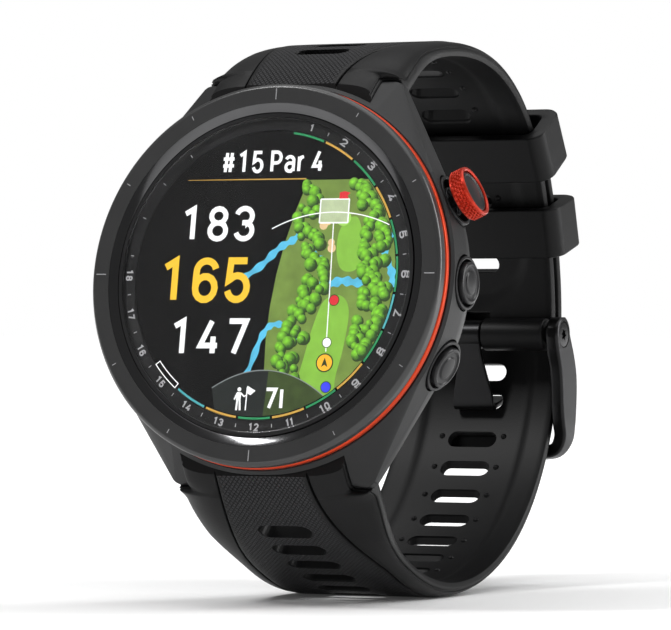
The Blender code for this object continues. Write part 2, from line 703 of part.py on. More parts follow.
def make_keepers():
    """Loops round both straps, each built about the strap's local centre of curvature."""
    low, high = -KEEPER_WIDTH / 2, KEEPER_WIDTH / 2
    for name, degrees in KEEPER_ANGLES.items():
        radius, centre, outward = strap_frame(degrees)
        outer = rounded_band(12.6, radius - KEEPER_INWARD - 1.3, radius + KEEPER_OUTWARD + 1.5, 1.6)
        inner = rounded_band(11.1, radius - KEEPER_INWARD, radius + KEEPER_OUTWARD, 0.9)
        rings = [[(x, y, low) for x, y in outer], [(x, y, high) for x, y in outer],
                 [(x, y, high) for x, y in inner], [(x, y, low) for x, y in inner]]
        loft(f"keeper_{name}", rings, "rubber", closed=True, location=(0, *centre),
             tilt=(outward, 0, 0))


# ---------------------------------------------------------------- standing

def stand_up():
    """Leans the watch and puts the origin under the middle of its box, at its lowest point."""
    stand.rotation_euler = Euler((math.radians(LEAN_DEG), 0, 0))
    bpy.context.view_layer.update()
    graph = bpy.context.evaluated_depsgraph_get()
    low = Vector((1e9, 1e9, 1e9))
    high = -low
    for obj in bpy.data.objects:
        if obj.type != "MESH" or obj.hide_render:
            continue
        evaluated = obj.evaluated_get(graph)
        for vertex in evaluated.data.vertices:
            point = obj.matrix_world @ vertex.co
            low = Vector(map(min, low, point))
            high = Vector(map(max, high, point))
    stand.location = Vector((-(low.x + high.x) / 2, -(low.y + high.y) / 2, -low.z))


for leftover in list(bpy.data.objects):
    bpy.data.objects.remove(leftover)
materials = {name: make_material(name) for name in PALETTE}
stand = bpy.data.objects.new("watch_stand", None)
bpy.context.scene.collection.objects.link(stand)
make_case()
make_front()
make_inside()
make_back()
for button in BUTTON_ANGLES:
    make_button(button)
make_grip()
make_long_strap()
make_short_strap()
make_pins()
make_buckle()
make_tang()
make_keepers()
stand_up()
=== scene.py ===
"""Golf GPS watch: detailed pieces, materials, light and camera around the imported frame.

Pieces are drawn in the dial frame, in millimetres: +X to 3 o'clock, +Z to 12 o'clock and +Y from
the front of the bezel towards the wrist. DIAL turns that frame into the row frame. Places on the
strap's loop are a radius and an angle, 0 at the back of the wrist and positive towards 12 o'clock.
"""

import math
import json
import random

import bmesh
import bpy
from mathutils import Matrix, Vector


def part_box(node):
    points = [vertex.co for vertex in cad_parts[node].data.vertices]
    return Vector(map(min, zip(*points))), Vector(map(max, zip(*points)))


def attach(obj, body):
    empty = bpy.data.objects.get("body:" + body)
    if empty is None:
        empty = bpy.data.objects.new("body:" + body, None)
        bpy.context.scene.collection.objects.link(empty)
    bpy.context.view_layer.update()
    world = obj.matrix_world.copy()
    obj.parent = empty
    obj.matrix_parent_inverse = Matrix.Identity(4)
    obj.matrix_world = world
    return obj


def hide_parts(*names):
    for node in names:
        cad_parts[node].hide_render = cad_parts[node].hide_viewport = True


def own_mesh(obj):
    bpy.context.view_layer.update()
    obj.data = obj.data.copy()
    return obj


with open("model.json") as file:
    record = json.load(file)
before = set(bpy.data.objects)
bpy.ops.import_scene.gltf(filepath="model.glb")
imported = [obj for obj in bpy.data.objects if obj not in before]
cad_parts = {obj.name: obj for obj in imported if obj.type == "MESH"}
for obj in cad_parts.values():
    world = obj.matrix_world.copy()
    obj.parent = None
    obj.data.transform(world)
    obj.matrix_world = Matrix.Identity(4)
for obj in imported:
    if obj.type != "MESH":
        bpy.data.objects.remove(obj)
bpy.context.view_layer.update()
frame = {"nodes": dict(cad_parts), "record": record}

MM = 0.001
LEAN = math.radians(-9.7)
GLASS_MIDDLE = 0.45
glass_low, glass_high = (Vector(corner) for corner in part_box("cover_glass"))
DIAL = (Matrix.Translation((glass_low + glass_high) / 2) @ Matrix.Rotation(LEAN, 4, "X")
        @ Matrix.Translation((0, -GLASS_MIDDLE * MM, 0)))

# Driving sizes in millimetres, and angles in degrees
GLASS_RADIUS = 19.3
DISPLAY_FRONT = 0.85
DISPLAY_RADIUS = 17.35
SCALE_FRONT = 0.845
BUTTON_DEPTH = 7.0
BUTTON_ANGLES = {"upper": 25.0, "middle": 0.0, "lower": -25.0}
LOOP_DEPTH = 33.0
STRAP_INNER = 33.0
STRAP_OUTER = 35.1
STRAP_OUTER_REAR = 34.6
STRAP_OUTER_LUG = 38.0
NESTED_INNER = 30.7
NESTED_OUTER = 32.6
RISE_DEG = (20.0, 66.0)
RISE = 2.3
SWELL_DEG = (40.0, 105.0)
SWELL = 0.9
STRAP_END_DEG = 150.0
THICKENING_DEG = (104.0, 141.0)
FLARE_DEG = (135.2, 136.2)
TAPER_DEG = (0.0, 60.0)
LUG_HALF_WIDTH = 11.02
FLARE_HALF_WIDTH = 11.35
REAR_HALF_WIDTH = 10.95
FILLED_DEG = (132.0, 138.0)
SKIRT_DEG = (107.0, 135.0)
SKIRT = 1.7
CHANNEL_HALF_WIDTH = 7.4
CHANNEL_DEPTH = 0.28
SHORT_START_DEG = 9.0
LONG_FULL_DEG = 50.0
LONG_TIP_DEG = 57.0
SLOT_HALF_LENGTH = 3.5
SLOT_HALF_HEIGHT = 1.15
NARROW_SLOTS_DEG = (-80.0, -22.0)
NARROW_NESTED_SLOTS_DEG = (55.0, 75.0)
PIN_DEPTH = 7.0
PIN_Z = 23.3
BAR_DEPTH = 62.5
BAR_Z = 3.0
KEEPER_ANGLES = {"upper": 50.8, "lower": 31.5}
KEEPER_HALF_LENGTH = 3.3
KEEPER_HALF_WIDTH = 13.45
KEEPER_INNER_HALF_WIDTH = 11.5
BUCKLE_ACROSS = 12.2
EYE_RADIUS = 2.3
TANG_REACH = 9.55
TANG_HALF_THICKNESS = 0.36
CAMERA_FROM_DIAL = (248.4, -490.8, -5.0)
CAMERA_TURN_DEG = 25.925
CAMERA_LENS = 244.5

RUBBER_COLOUR = (0.0042, 0.0042, 0.0045)
BUCKLE_COLOUR = (0.04, 0.04, 0.042)
# Stretch of a noise for the fine lines of brushed metal
FINE_IN_X = (8, 1, 1)
FINE_IN_Y = (1, 8, 1)


# ---------------------------------------------------------------- materials

def principled(name, colour, roughness, metallic=0.0, **sockets):
    """A new Principled material. Extra sockets are given as words, such as coat_weight=0.3."""
    material = bpy.data.materials.new(name)
    material.use_nodes = True
    shader = material.node_tree.nodes["Principled BSDF"]
    shader.inputs["Base Color"].default_value = (*colour, 1.0)
    shader.inputs["Roughness"].default_value = roughness
    shader.inputs["Metallic"].default_value = metallic
    for key, value in sockets.items():
        shader.inputs[key.replace("_", " ").title().replace("Ior", "IOR")].default_value = value
    return material


def set_socket(material, socket, value):
    """Links an output to a socket, or sets a number, a vector or a colour on it."""
    if isinstance(value, bpy.types.NodeSocket):
        material.node_tree.links.new(value, socket)
    else:
        socket.default_value = (*value, 1.0) if socket.type == "RGBA" else value


def add(material, kind, **inputs):
    """Adds a shader node and fills its sockets, each given by name or by _ and its number."""
    made = material.node_tree.nodes.new(kind)
    for key, value in inputs.items():
        socket = made.inputs[int(key[1:])] if key[0] == "_" else made.inputs[key.replace("_", " ")]
        set_socket(material, socket, value)
    return made


def calculate(material, operation, first, second=0.0, third=0.0):
    made = add(material, "ShaderNodeMath", _0=first, _1=second, _2=third)
    made.operation = operation
    return made.outputs[0]


def link(material, output, socket):
    shader = material.node_tree.nodes["Principled BSDF"]
    material.node_tree.links.new(output, shader.inputs[socket])


def mix(material, factor, first, second):
    """Blends two colours by a factor socket."""
    made = material.node_tree.nodes.new("ShaderNodeMix")
    made.data_type = "RGBA"
    set_socket(material, made.inputs["Factor"], factor)
    set_socket(material, made.inputs[6], first)
    set_socket(material, made.inputs[7], second)
    return made.outputs[2]


def uv(material, name):
    made = add(material, "ShaderNodeUVMap")
    made.uv_map = name
    return made.outputs[0]


def noise(material, scale, detail=3.0, stretch=(1, 1, 1)):
    """Noise in the piece's own coordinates. Scale is in features per metre."""
    coordinates = add(material, "ShaderNodeTexCoord").outputs["Object"]
    mapping = add(material, "ShaderNodeMapping", Vector=coordinates, Scale=stretch)
    return add(material, "ShaderNodeTexNoise", Vector=mapping.outputs[0], Scale=scale,
               Detail=detail).outputs["Fac"]


def spread(material, value, low, high, start=0.3, stop=0.7):
    """Maps a value between start and stop to low and high."""
    made = add(material, "ShaderNodeMapRange", Value=value)
    for key, number in (("From Min", start), ("From Max", stop), ("To Min", low), ("To Max", high)):
        made.inputs[key].default_value = number
    return made.outputs[0]


def bump(material, height, distance, normal=None):
    made = add(material, "ShaderNodeBump", Height=height, Distance=distance)
    if normal:
        material.node_tree.links.new(normal, made.inputs["Normal"])
    return made.outputs[0]


def mottled(material, value, colour, wear):
    """A colour that runs from a little darker to a little lighter with a noise."""
    darker = tuple(c * (1 - wear) for c in colour)
    lighter = tuple(min(1.0, c * (1 + wear)) for c in colour)
    return mix(material, spread(material, value, 0, 1), darker, lighter)


def surface(name, colour, roughness, metallic, grain, microns, wear=0.15, stretch=(1, 1, 1),
            **sockets):
    """A material with small variation in colour and roughness, and a fine grain."""
    material = principled(name, colour, roughness, metallic, **sockets)
    patches = noise(material, 160.0, 4.0)
    link(material, mottled(material, patches, colour, wear), "Base Color")
    link(material, spread(material, patches, roughness * 0.92, roughness * 1.08), "Roughness")
    fine = noise(material, grain, 2.0, stretch)
    link(material, bump(material, fine, microns * 1e-6), "Normal")
    return material


def textured_rubber():
    """Silicone with a knit of small pits in the raised middle, by the strap's own coordinates.
    The raised knit is also coloured lighter than the rubber, a painted highlight for glints on the
    weave.
    """
    pitch_across, pitch_along = 0.62, 0.7
    material = principled("strap_rubber", RUBBER_COLOUR, 0.46, specular_ior_level=0.2)
    split = add(material, "ShaderNodeSeparateXYZ", Vector=uv(material, "millimetres"))
    zone = add(material, "ShaderNodeSeparateXYZ", Vector=uv(material, "zone")).outputs[0]
    waves = []
    for direction in (1.0, -1.0):
        across = calculate(material, "MULTIPLY", split.outputs[0], math.pi / pitch_across)
        along = calculate(material, "MULTIPLY", split.outputs[1],
                          direction * math.pi / pitch_along)
        wave = calculate(material, "SINE", calculate(material, "ADD", across, along))
        waves.append(calculate(material, "ABSOLUTE", wave))
    knit = spread(material, calculate(material, "MINIMUM", *waves), 0, 1, 0.08, 0.62)
    knit_and_glint = calculate(material, "MULTIPLY", knit, zone)
    plain = mix(material, spread(material, noise(material, 90.0, 4.0), 0, 1),
                tuple(c * 0.86 for c in RUBBER_COLOUR), tuple(c * 1.16 for c in RUBBER_COLOUR))
    # Painted highlight: the raised knit is coloured up to 7.5 times lighter than the rubber, for
    # the glints on the weave
    link(material, mix(material, knit_and_glint, plain, tuple(c * 7.5 for c in RUBBER_COLOUR)),
         "Base Color")
    link(material, calculate(material, "MULTIPLY_ADD", zone, 0.12, 0.44), "Roughness")
    skin = bump(material, noise(material, 5200.0, 2.0), 0.000012)
    link(material, bump(material, knit_and_glint, 0.00011, skin), "Normal")
    return material


def clear_glass():
    material = principled("clear_glass", (1, 1, 1), 0.02, ior=1.22, transmission_weight=1.0)
    link(material, bump(material, noise(material, 60.0), 0.0000005), "Normal")
    return material


# Colour, variation and features per metre of each lit part of the display
LIT = {
    "white": ((0.84, 0.85, 0.85), 0.02, 900.0),
    "gold": ((0.8, 0.48, 0.025), 0.02, 900.0),
    "bronze": ((0.5, 0.29, 0.05), 0.03, 900.0),
    "green": ((0.015, 0.22, 0.08), 0.04, 900.0),
    "teal": ((0.06, 0.33, 0.36), 0.04, 900.0),
    "rough": ((0.14, 0.22, 0.04), 0.2, 420.0),
    "fairway": ((0.2, 0.43, 0.045), 0.1, 500.0),
    "putting": ((0.3, 0.55, 0.1), 0.08, 900.0),
    "sand": ((0.66, 0.47, 0.25), 0.12, 900.0),
    "water": ((0.08, 0.42, 0.62), 0.18, 700.0),
    "red": ((0.62, 0.02, 0.03), 0.05, 900.0),
    "blue": ((0.04, 0.05, 0.75), 0.05, 900.0),
    "orange": ((0.85, 0.42, 0.02), 0.05, 900.0),
    "dim_rough": ((0.035, 0.06, 0.012), 0.3, 600.0),
    "window": ((0.42, 0.5, 0.3), 0.1, 900.0),
    "panel": ((0.006, 0.009, 0.008), 0.1, 900.0),
    "panel_rim": ((0.2, 0.22, 0.22), 0.05, 900.0),
}


def glow(name, colour, variation, scale=900.0, strength=1.0):
    """A lit part of the display. The dial ring's printed marks use it too, glowing as painted
    light.
    """
    material = principled(name, tuple(c * 0.3 for c in colour), 0.4, emission_strength=strength)
    shade = mottled(material, noise(material, scale, 3.0), colour, variation)
    link(material, shade, "Emission Color")
    return material


def lit_trees():
    """Shades each tree top as a ball lit from the upper left, by its own round coordinates."""
    material = principled("lit_trees", (0.02, 0.05, 0.01), 0.4, emission_strength=1.0)
    distance = add(material, "ShaderNodeVectorMath", _0=uv(material, "ball"),
                   _1=(-0.3, 0.35, 0.0))
    distance.operation = "DISTANCE"
    leaves = calculate(material, "MULTIPLY_ADD", noise(material, 2600.0), 0.9, -0.45)
    shade = calculate(material, "ADD", distance.outputs["Value"], leaves)
    factor = spread(material, shade, 1, 0, 0.05, 1.25)
    link(material, mix(material, factor, (0.006, 0.04, 0.003), (0.26, 0.72, 0.03)),
         "Emission Color")
    return material


def make_materials():
    """All materials by key. Each surface has its name, colour, roughness, how metallic it is,
    its grain in features per metre and in microns, and then its wear and the grain's stretch."""
    made = {
        "ceramic": surface("bezel_ceramic", (0.04, 0.04, 0.0405), 0.3, 0.25, 2600.0, 4, 0.05,
                           coat_weight=0.15, coat_roughness=0.12),
        "polish": surface("bezel_polished", (0.085, 0.085, 0.087), 0.1, 1.0, 2600.0, 1, 0.05),
        "polymer": surface("case_polymer", (0.0115, 0.0117, 0.0123), 0.44, 0.0, 3800.0, 14, 0.12,
                           specular_ior_level=0.32),
        "accent": surface("accent_orange", (0.6, 0.045, 0.006), 0.38, 0.65, 2000.0, 4, 0.06),
        "red_metal": surface("grip_red", (0.52, 0.026, 0.007), 0.3, 0.55, 2500.0, 4, 0.08),
        "rubber": surface("plain_rubber", RUBBER_COLOUR, 0.44, 0.0, 5200.0, 12, 0.14,
                          specular_ior_level=0.2),
        "dark_steel": surface("buckle_coated", BUCKLE_COLOUR, 0.34, 0.85, 1500.0, 3, 0.1,
                              FINE_IN_Y),
        # Painted shade: a darker copy of the buckle's coating, for the tang and for the buckle
        # faces that look forward into the loop
        "tang": surface("tang_coating_shaded", (0.018, 0.018, 0.0187), 0.3, 0.85, 1500.0, 3, 0.1,
                        FINE_IN_X),
        "steel": surface("bright_steel", (0.6, 0.6, 0.61), 0.28, 1.0, 1600.0, 3, 0.08, FINE_IN_X),
        "tinplate": surface("tinplate", (0.62, 0.62, 0.6), 0.36, 1.0, 1200.0, 4),
        "foil": surface("battery_foil", (0.36, 0.37, 0.39), 0.4, 0.7, 700.0, 20),
        "gold": surface("gold_plate", (0.83, 0.6, 0.25), 0.24, 1.0, 1500.0, 3),
        "board": surface("solder_mask", (0.02, 0.14, 0.06), 0.42, 0.0, 900.0, 10,
                         coat_weight=0.4),
        "ink": surface("dial_black", (0.006, 0.006, 0.0065), 0.35, 0.0, 2400.0, 3),
        "screen": surface("display_black", (0.002, 0.002, 0.0022), 0.25, 0.0, 2400.0, 1),
        "glass": clear_glass(),
        "strap": textured_rubber(),
        "button": surface("button_dark", (0.014, 0.014, 0.015), 0.3, 0.25, 2200.0, 4, 0.08,
                          specular_ior_level=0.3),
        "screw": surface("screw_head", BUCKLE_COLOUR, 0.24, 0.95, 1500.0, 3),
        "mark": surface("engraved_mark", (0.34, 0.34, 0.35), 0.5, 0.0, 2000.0, 2),
        # Painted light: the dial ring's printed grey marks glow as if lit, though they are no lamp
        "print": glow("glowing_print_grey", (0.36, 0.36, 0.37), 0.03, strength=0.9),
        "tinted": surface("tinted_glass", (0.004, 0.004, 0.0045), 0.06, 0.0, 600.0, 1,
                          coat_weight=1.0),
        "lens": surface("sensor_lens", (0.03, 0.035, 0.03), 0.1, 0.0, 600.0, 1,
                        coat_weight=1.0),
        "lit_shade": glow("lit_shade", (0.025, 0.055, 0.01), 0.1, strength=0.6),
        "lit_trees": lit_trees(),
    }
    for key, (colour, variation, scale) in LIT.items():
        made[f"lit_{key}"] = glow(f"lit_{key}", colour, variation, scale)
    return made


# ---------------------------------------------------------------- mesh helpers

def to_mesh(bm, name):
    """Turns a bmesh in millimetres into a mesh in metres."""
    bmesh.ops.scale(bm, vec=(MM, MM, MM), verts=bm.verts)
    mesh = bpy.data.meshes.new(name)
    bm.to_mesh(mesh)
    bm.free()
    return mesh


def finish(bm, name, look, slot, nodes=(), **rest):
    """Turns a bmesh in millimetres into a piece that rides on a body and stands for CAD nodes."""
    bmesh.ops.remove_doubles(bm, verts=bm.verts, dist=1e-4)
    bmesh.ops.recalc_face_normals(bm, faces=bm.faces)
    return settle(name, to_mesh(bm, name), look, slot, nodes, **rest)


def put(name, data):
    """Adds an object to the scene."""
    made = bpy.data.objects.new(name, data)
    bpy.context.scene.collection.objects.link(made)
    return made


placements = {}


def settle(name, mesh, look, slot, nodes=(), body="watch", place=None, sharp=30.0, bevel=0.0):
    """Makes a piece of a mesh, in its place on the dial."""
    mesh.materials.append(looks[look])
    mesh.shade_smooth()
    mesh.set_sharp_from_angle(angle=math.radians(sharp))
    placements[name] = DIAL @ (place or Matrix())
    mesh.transform(placements[name])
    piece = put(name, mesh)
    if bevel:
        add_bevel(piece, bevel)
    if nodes:
        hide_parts(*nodes)
    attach(piece, body)
    return piece


def add_bevel(piece, width):
    modifier = piece.modifiers.new("bevel", "BEVEL")
    modifier.width = width * MM
    modifier.segments = 3
    modifier.limit_method = "ANGLE"
    modifier.angle_limit = math.radians(32)
    modifier.harden_normals = True


def at(x=0.0, y=0.0, z=0.0, tilt=0.0, axis="X"):
    """Placement in the dial frame, in millimetres, turned by an angle in radians."""
    return Matrix.Translation((x * MM, y * MM, z * MM)) @ Matrix.Rotation(tilt, 4, axis)


def on_button(name):
    """Placement whose local +X is the button's axis, pointing out of the case."""
    return at(y=BUTTON_DEPTH, tilt=-math.radians(BUTTON_ANGLES[name]), axis="Y")


def rounded(points, steps=3):
    """Fillets a profile. Each point is (a, b) for a corner or (a, b, fillet)."""
    result = []
    for n, point in enumerate(points):
        fillet = point[2] if len(point) == 3 else 0.0
        here = Vector(point[:2])
        if not fillet or n in (0, len(points) - 1):
            result.append(tuple(here))
            continue
        before = Vector(points[n - 1][:2]) - here
        after = Vector(points[n + 1][:2]) - here
        reach = min(fillet, 0.45 * before.length, 0.45 * after.length)
        start = here + before.normalized() * reach
        end = here + after.normalized() * reach
        for step in range(steps + 1):
            t = step / steps
            result.append(tuple(start * (1 - t) ** 2 + here * (2 * t * (1 - t)) + end * t * t))
    return result


def circle(radius, count):
    """Points of a circle about the origin, anticlockwise."""
    angles = [2 * math.pi * n / count for n in range(count)]
    return [(radius * math.cos(angle), radius * math.sin(angle)) for angle in angles]


def add_turned(bm, profile, segments=192, axis="Y"):
    """Spins a profile of (radius, along) about an axis, and gives back the new vertices. A
    profile that starts off the axis is joined up into a ring."""
    rows = []
    for radius, along in profile:
        spun = circle(radius, segments if radius > 1e-6 else 1)
        rows.append([bm.verts.new((a, along, b) if axis == "Y" else (along, a, b))
                     for a, b in spun])
    pairs = list(zip(rows, rows[1:]))
    if profile[0][0] > 1e-6:
        pairs.append((rows[-1], rows[0]))
    for here, there in pairs:
        for n in range(segments):
            corners = [here[n % len(here)], here[(n + 1) % len(here)],
                       there[(n + 1) % len(there)], there[n % len(there)]]
            corners = list(dict.fromkeys(corners))
            if len(corners) > 2:
                bm.faces.new(corners)
    return [vert for row in rows for vert in row]


def turned(name, profile, look, slot, nodes=(), segments=192, axis="Y", **rest):
    bm = bmesh.new()
    add_turned(bm, profile, segments, axis)
    return finish(bm, name, look, slot, nodes, **rest)


def join_loops(bm, loops, closed=False):
    """Joins loops of vertices with faces, and caps the ends unless the run is closed."""
    following = loops[1:] + loops[:1] if closed else loops[1:]
    for here, there in zip(loops, following):
        count = len(here)
        for n in range(count):
            bm.faces.new((here[n], here[(n + 1) % count], there[(n + 1) % count], there[n]))
    if not closed:
        bm.faces.new(loops[0])
        bm.faces.new(loops[-1])


def add_loft(bm, rings, closed=False):
    join_loops(bm, [[bm.verts.new(point) for point in points] for points in rings], closed)


def loft(name, rings, look, slot, nodes=(), closed=False, **rest):
    bm = bmesh.new()
    add_loft(bm, rings, closed)
    return finish(bm, name, look, slot, nodes, **rest)


def add_box(bm, low, high):
    made = bmesh.ops.create_cube(bm, size=1.0)
    bmesh.ops.scale(bm, vec=Vector(high) - Vector(low), verts=made["verts"])
    bmesh.ops.translate(bm, vec=(Vector(high) + Vector(low)) / 2, verts=made["verts"])


def carve(piece, bm, operation="DIFFERENCE", place=None):
    """Cuts a bmesh in millimetres, in the piece's own frame, out of the piece. place moves the
    bmesh first, and is in millimetres too."""
    if place:
        bmesh.ops.transform(bm, matrix=place, verts=bm.verts)
    bmesh.ops.recalc_face_normals(bm, faces=bm.faces)
    mesh = to_mesh(bm, "tool")
    mesh.transform(placements[piece.name])
    tool = put("tool", mesh)
    modifier = piece.modifiers.new("carve", "BOOLEAN")
    modifier.operation = operation
    modifier.solver = "EXACT"
    modifier.object = tool
    bpy.context.view_layer.update()
    graph = bpy.context.evaluated_depsgraph_get()
    carved = bpy.data.meshes.new_from_object(piece.evaluated_get(graph))
    piece.modifiers.remove(modifier)
    piece.data = carved
    bpy.data.objects.remove(tool)


def carve_turned(piece, profile, segments=192, axis="Y", **rest):
    bm = bmesh.new()
    add_turned(bm, profile, segments, axis)
    carve(piece, bm, **rest)


def carve_loft(piece, rings):
    bm = bmesh.new()
    add_loft(bm, rings)
    carve(piece, bm)


def carve_box(piece, low, high, **rest):
    bm = bmesh.new()
    add_box(bm, low, high)
    carve(piece, bm, **rest)


def smooth(value, low, high):
    """Runs from 0 at low to 1 at high with level ends."""
    t = min(max((value - low) / (high - low), 0.0), 1.0)
    return t * t * (3 - 2 * t)


def curve_through(points, steps):
    """A smooth run of points through the given ones."""
    result = []
    for n in range(len(points) - 1):
        p0 = Vector(points[max(n - 1, 0)])
        p1, p2 = Vector(points[n]), Vector(points[n + 1])
        p3 = Vector(points[min(n + 2, len(points) - 1)])
        for step in range(steps):
            t = step / steps
            result.append(0.5 * (2 * p1 + (p2 - p0) * t + (2 * p0 - 5 * p1 + 4 * p2 - p3) * t * t
                                 + (3 * p1 - p0 - 3 * p2 + p3) * t ** 3))
    result.append(Vector(points[-1]))
    return result


# ---------------------------------------------------------------- case

CASE_LEVELS = [
    # depth, body radius, lug tip x, lug tip z
    (2.8, 23.7, 12.0, 19.5),
    (3.2, 24.0, 12.0, 20.0),
    (6.9, 23.9, 13.0, 23.9),
    (8.0, 23.7, 13.0, 24.0),
    (9.6, 23.2, 14.2, 20.5),
    (10.7, 22.5, 15.0, 15.0),
]


def hull_of_discs(discs, steps):
    """Outline round several discs of (x, z, radius), one point for each outward direction."""
    outline = []
    for n in range(steps):
        angle = 2 * math.pi * (n + 0.5) / steps
        dx, dz = math.cos(angle), math.sin(angle)
        x, z, radius = max(discs, key=lambda d: d[0] * dx + d[1] * dz + d[2])
        outline.append((x + radius * dx, z + radius * dz))
    return outline


def make_case():
    rings = []
    for depth, radius, tip_x, tip_z in CASE_LEVELS:
        discs = [(0, 0, radius)]
        discs += [(sx * (tip_x - 0.6), sz * (tip_z - 0.6), 1.6) for sx in (-1, 1)
                  for sz in (-1, 1)]
        rings.append([(x, depth, z) for x, z in hull_of_discs(discs, 360)])
    case = loft("case_shell", rings, "polymer", "polymer", ["case_body"], sharp=24.0)
    carve_turned(case, [(0, 1.0), (20.2, 1.0), (20.2, 8.7), (18.5, 8.7), (18.5, 9.5),
                        (21.5, 9.5), (21.5, 12.0), (0, 12.0)])
    notches = bmesh.new()
    for low_z, high_z in ((21.2, 30.0), (-30.0, -21.2)):
        add_box(notches, (-11.1, 3.4, low_z), (11.1, 12.0, high_z))
    carve(case, notches)
    for name in BUTTON_ANGLES:
        place = on_button(name)
        place.translation /= MM
        carve_turned(case, [(0, 18.0), (1.2, 18.0), (1.2, 22.0), (3.4, 22.0), (3.4, 23.2),
                            (3.9, 27.0), (0, 27.0)], 96, "X", place=place)
    add_bevel(case, 0.22)


def make_front():
    bezel = rounded([(19.9, 4.0), (19.3, 4.0), (19.3, 1.9), (18.1, 1.9), (18.1, 1.45),
                     (19.95, 1.45), (19.95, 0.8), (21.1, 0.4), (21.1, 0.0, 0.06),
                     (23.1, 0.0, 0.2), (23.5, 0.4, 0.25), (23.5, 1.6, 0.1), (20.4, 1.6),
                     (20.4, 1.7), (19.9, 1.7)])
    turned("bezel", bezel, "ceramic", "ceramic", ["bezel_ring"], 288, sharp=18.0)
    edge = rounded([(19.96, 0.78), (19.96, 0.44, 0.08), (21.08, 0.0, 0.04), (21.08, 0.38)])
    turned("bezel_edge", edge, "polish", "ceramic", [], 288, sharp=18.0)
    accent = rounded([(20.5, 1.75), (23.4, 1.75, 0.1), (23.58, 1.9, 0.1), (23.58, 2.55, 0.1),
                      (23.4, 2.7, 0.1), (20.5, 2.7)])
    turned("accent", accent, "accent", "accent", ["accent_ring"], 288)
    glass = rounded([(0, 0.2), (GLASS_RADIUS, 0.2, 0.12), (GLASS_RADIUS, 0.7, 0.05), (0, 0.7)])
    cover = turned("front_glass", glass, "glass", "glass", ["cover_glass"], 256)
    cover.visible_shadow = False
    gasket = [(19.4, 0.34), (19.85, 0.34), (19.85, 0.75), (19.4, 0.75)]
    turned("glass_seal", gasket, "ink", "rubber", ["glass_gasket"], 256)
    dial = rounded([(17.8, 0.86), (19.6, 0.86), (19.9, 0.8), (19.9, 1.25), (17.8, 1.25)])
    turned("dial_scale_ring", dial, "ink", "ink", ["dial_ring"], 256)
    panel = [(0, DISPLAY_FRONT), (17.75, DISPLAY_FRONT), (17.75, 1.6), (0, 1.6)]
    turned("display_plate", panel, "screen", "screen", ["display_panel"], 256)
    marks = bmesh.new()
    for hour in range(12):
        angle = math.radians(30 * hour)
        quarter = hour % 3 == 0
        inner, outer = (21.5, 22.85) if quarter else (22.05, 22.6)
        half = 0.06 if quarter else 0.05
        flat_bar(marks, angle, inner, outer, half, -0.004)
    finish(marks, "bezel_marks", "mark", "ceramic")


def flat_bar(bm, angle, inner, outer, half, depth):
    """A thin radial bar on the dial, at a clockwise angle from 12 o'clock."""
    out = Vector((math.sin(angle), 0, math.cos(angle)))
    side = Vector((math.cos(angle), 0, -math.sin(angle))) * half
    lift = Vector((0, depth, 0))
    corners = [out * inner - side, out * inner + side, out * outer + side, out * outer - side]
    bm.faces.new([bm.verts.new(corner + lift) for corner in corners])


# ---------------------------------------------------------------- display

LAYER = 0.006


def layer(number):
    """Depth of a layer of the picture, counted up from the display's surface."""
    return DISPLAY_FRONT - 0.012 - LAYER * number


def clipped(points, radius=DISPLAY_RADIUS):
    """Keeps a flat outline inside the round display."""
    return [(x, z) if math.hypot(x, z) < radius
            else (x * radius / math.hypot(x, z), z * radius / math.hypot(x, z))
            for x, z in points]


def add_flat(bm, points, number):
    bm.faces.new([bm.verts.new((x, layer(number), z)) for x, z in points])


def join_rows(bm, rows):
    """Joins pairs of vertices into a band."""
    for here, there in zip(rows, rows[1:]):
        bm.faces.new((here[0], here[1], there[1], there[0]))


def across_at(points, n):
    """Unit vector square to a run of points at one of them."""
    along = points[min(n + 1, len(points) - 1)] - points[max(n - 1, 0)]
    return Vector((-along.y, along.x)).normalized()


def add_ribbon(bm, points, widths, number):
    """A flat band along points, with one half width per point."""
    points = [Vector(p) for p in points]
    rows = []
    for n, point in enumerate(points):
        across = across_at(points, n) * widths[n]
        rows.append([bm.verts.new((p.x, layer(number), p.y))
                     for p in (point + across, point - across)])
    join_rows(bm, rows)


def add_disc(bm, x, z, radius, number, segments=24):
    add_flat(bm, [(x + a, z + b) for a, b in circle(radius, segments)], number)


def add_arc(bm, start, stop, inner, outer, number):
    """A band of a ring between two clockwise angles in degrees from 12 o'clock."""
    steps = max(2, int(abs(stop - start) / 1.5))
    rows = []
    for n in range(steps + 1):
        angle = math.radians(start + (stop - start) * n / steps)
        rows.append([bm.verts.new((r * math.sin(angle), layer(number), r * math.cos(angle)))
                     for r in (inner, outer)])
    join_rows(bm, rows)


def picture(name, look, bm, slot="screen"):
    """A flat, lit piece of the display. All its faces look out of the dial."""
    for face in bm.faces:
        face.normal_update()
        if face.normal.y > 0:
            face.normal_flip()
    settle(name, to_mesh(bm, name), look, slot)


def drawn(name, look, *shapes):
    """A picture made of shapes, each a function and what it is given after the bmesh."""
    bm = bmesh.new()
    for draw, *given in shapes:
        draw(bm, *given)
    picture(name, look, bm)


def rim_points(start, step, count, radius=DISPLAY_RADIUS):
    """Points round the display by clockwise angles in degrees from 12 o'clock."""
    angles = [math.radians(start + step * n) for n in range(count)]
    return [(radius * math.sin(angle), radius * math.cos(angle)) for angle in angles]


def bow(x, y, wide, tall, start, stop):
    """Points on an ellipse about (x, y), by angles in degrees."""
    steps = 14
    angles = [math.radians(start + (stop - start) * n / steps) for n in range(steps + 1)]
    return [(x + wide * math.cos(angle), y + tall * math.sin(angle)) for angle in angles]


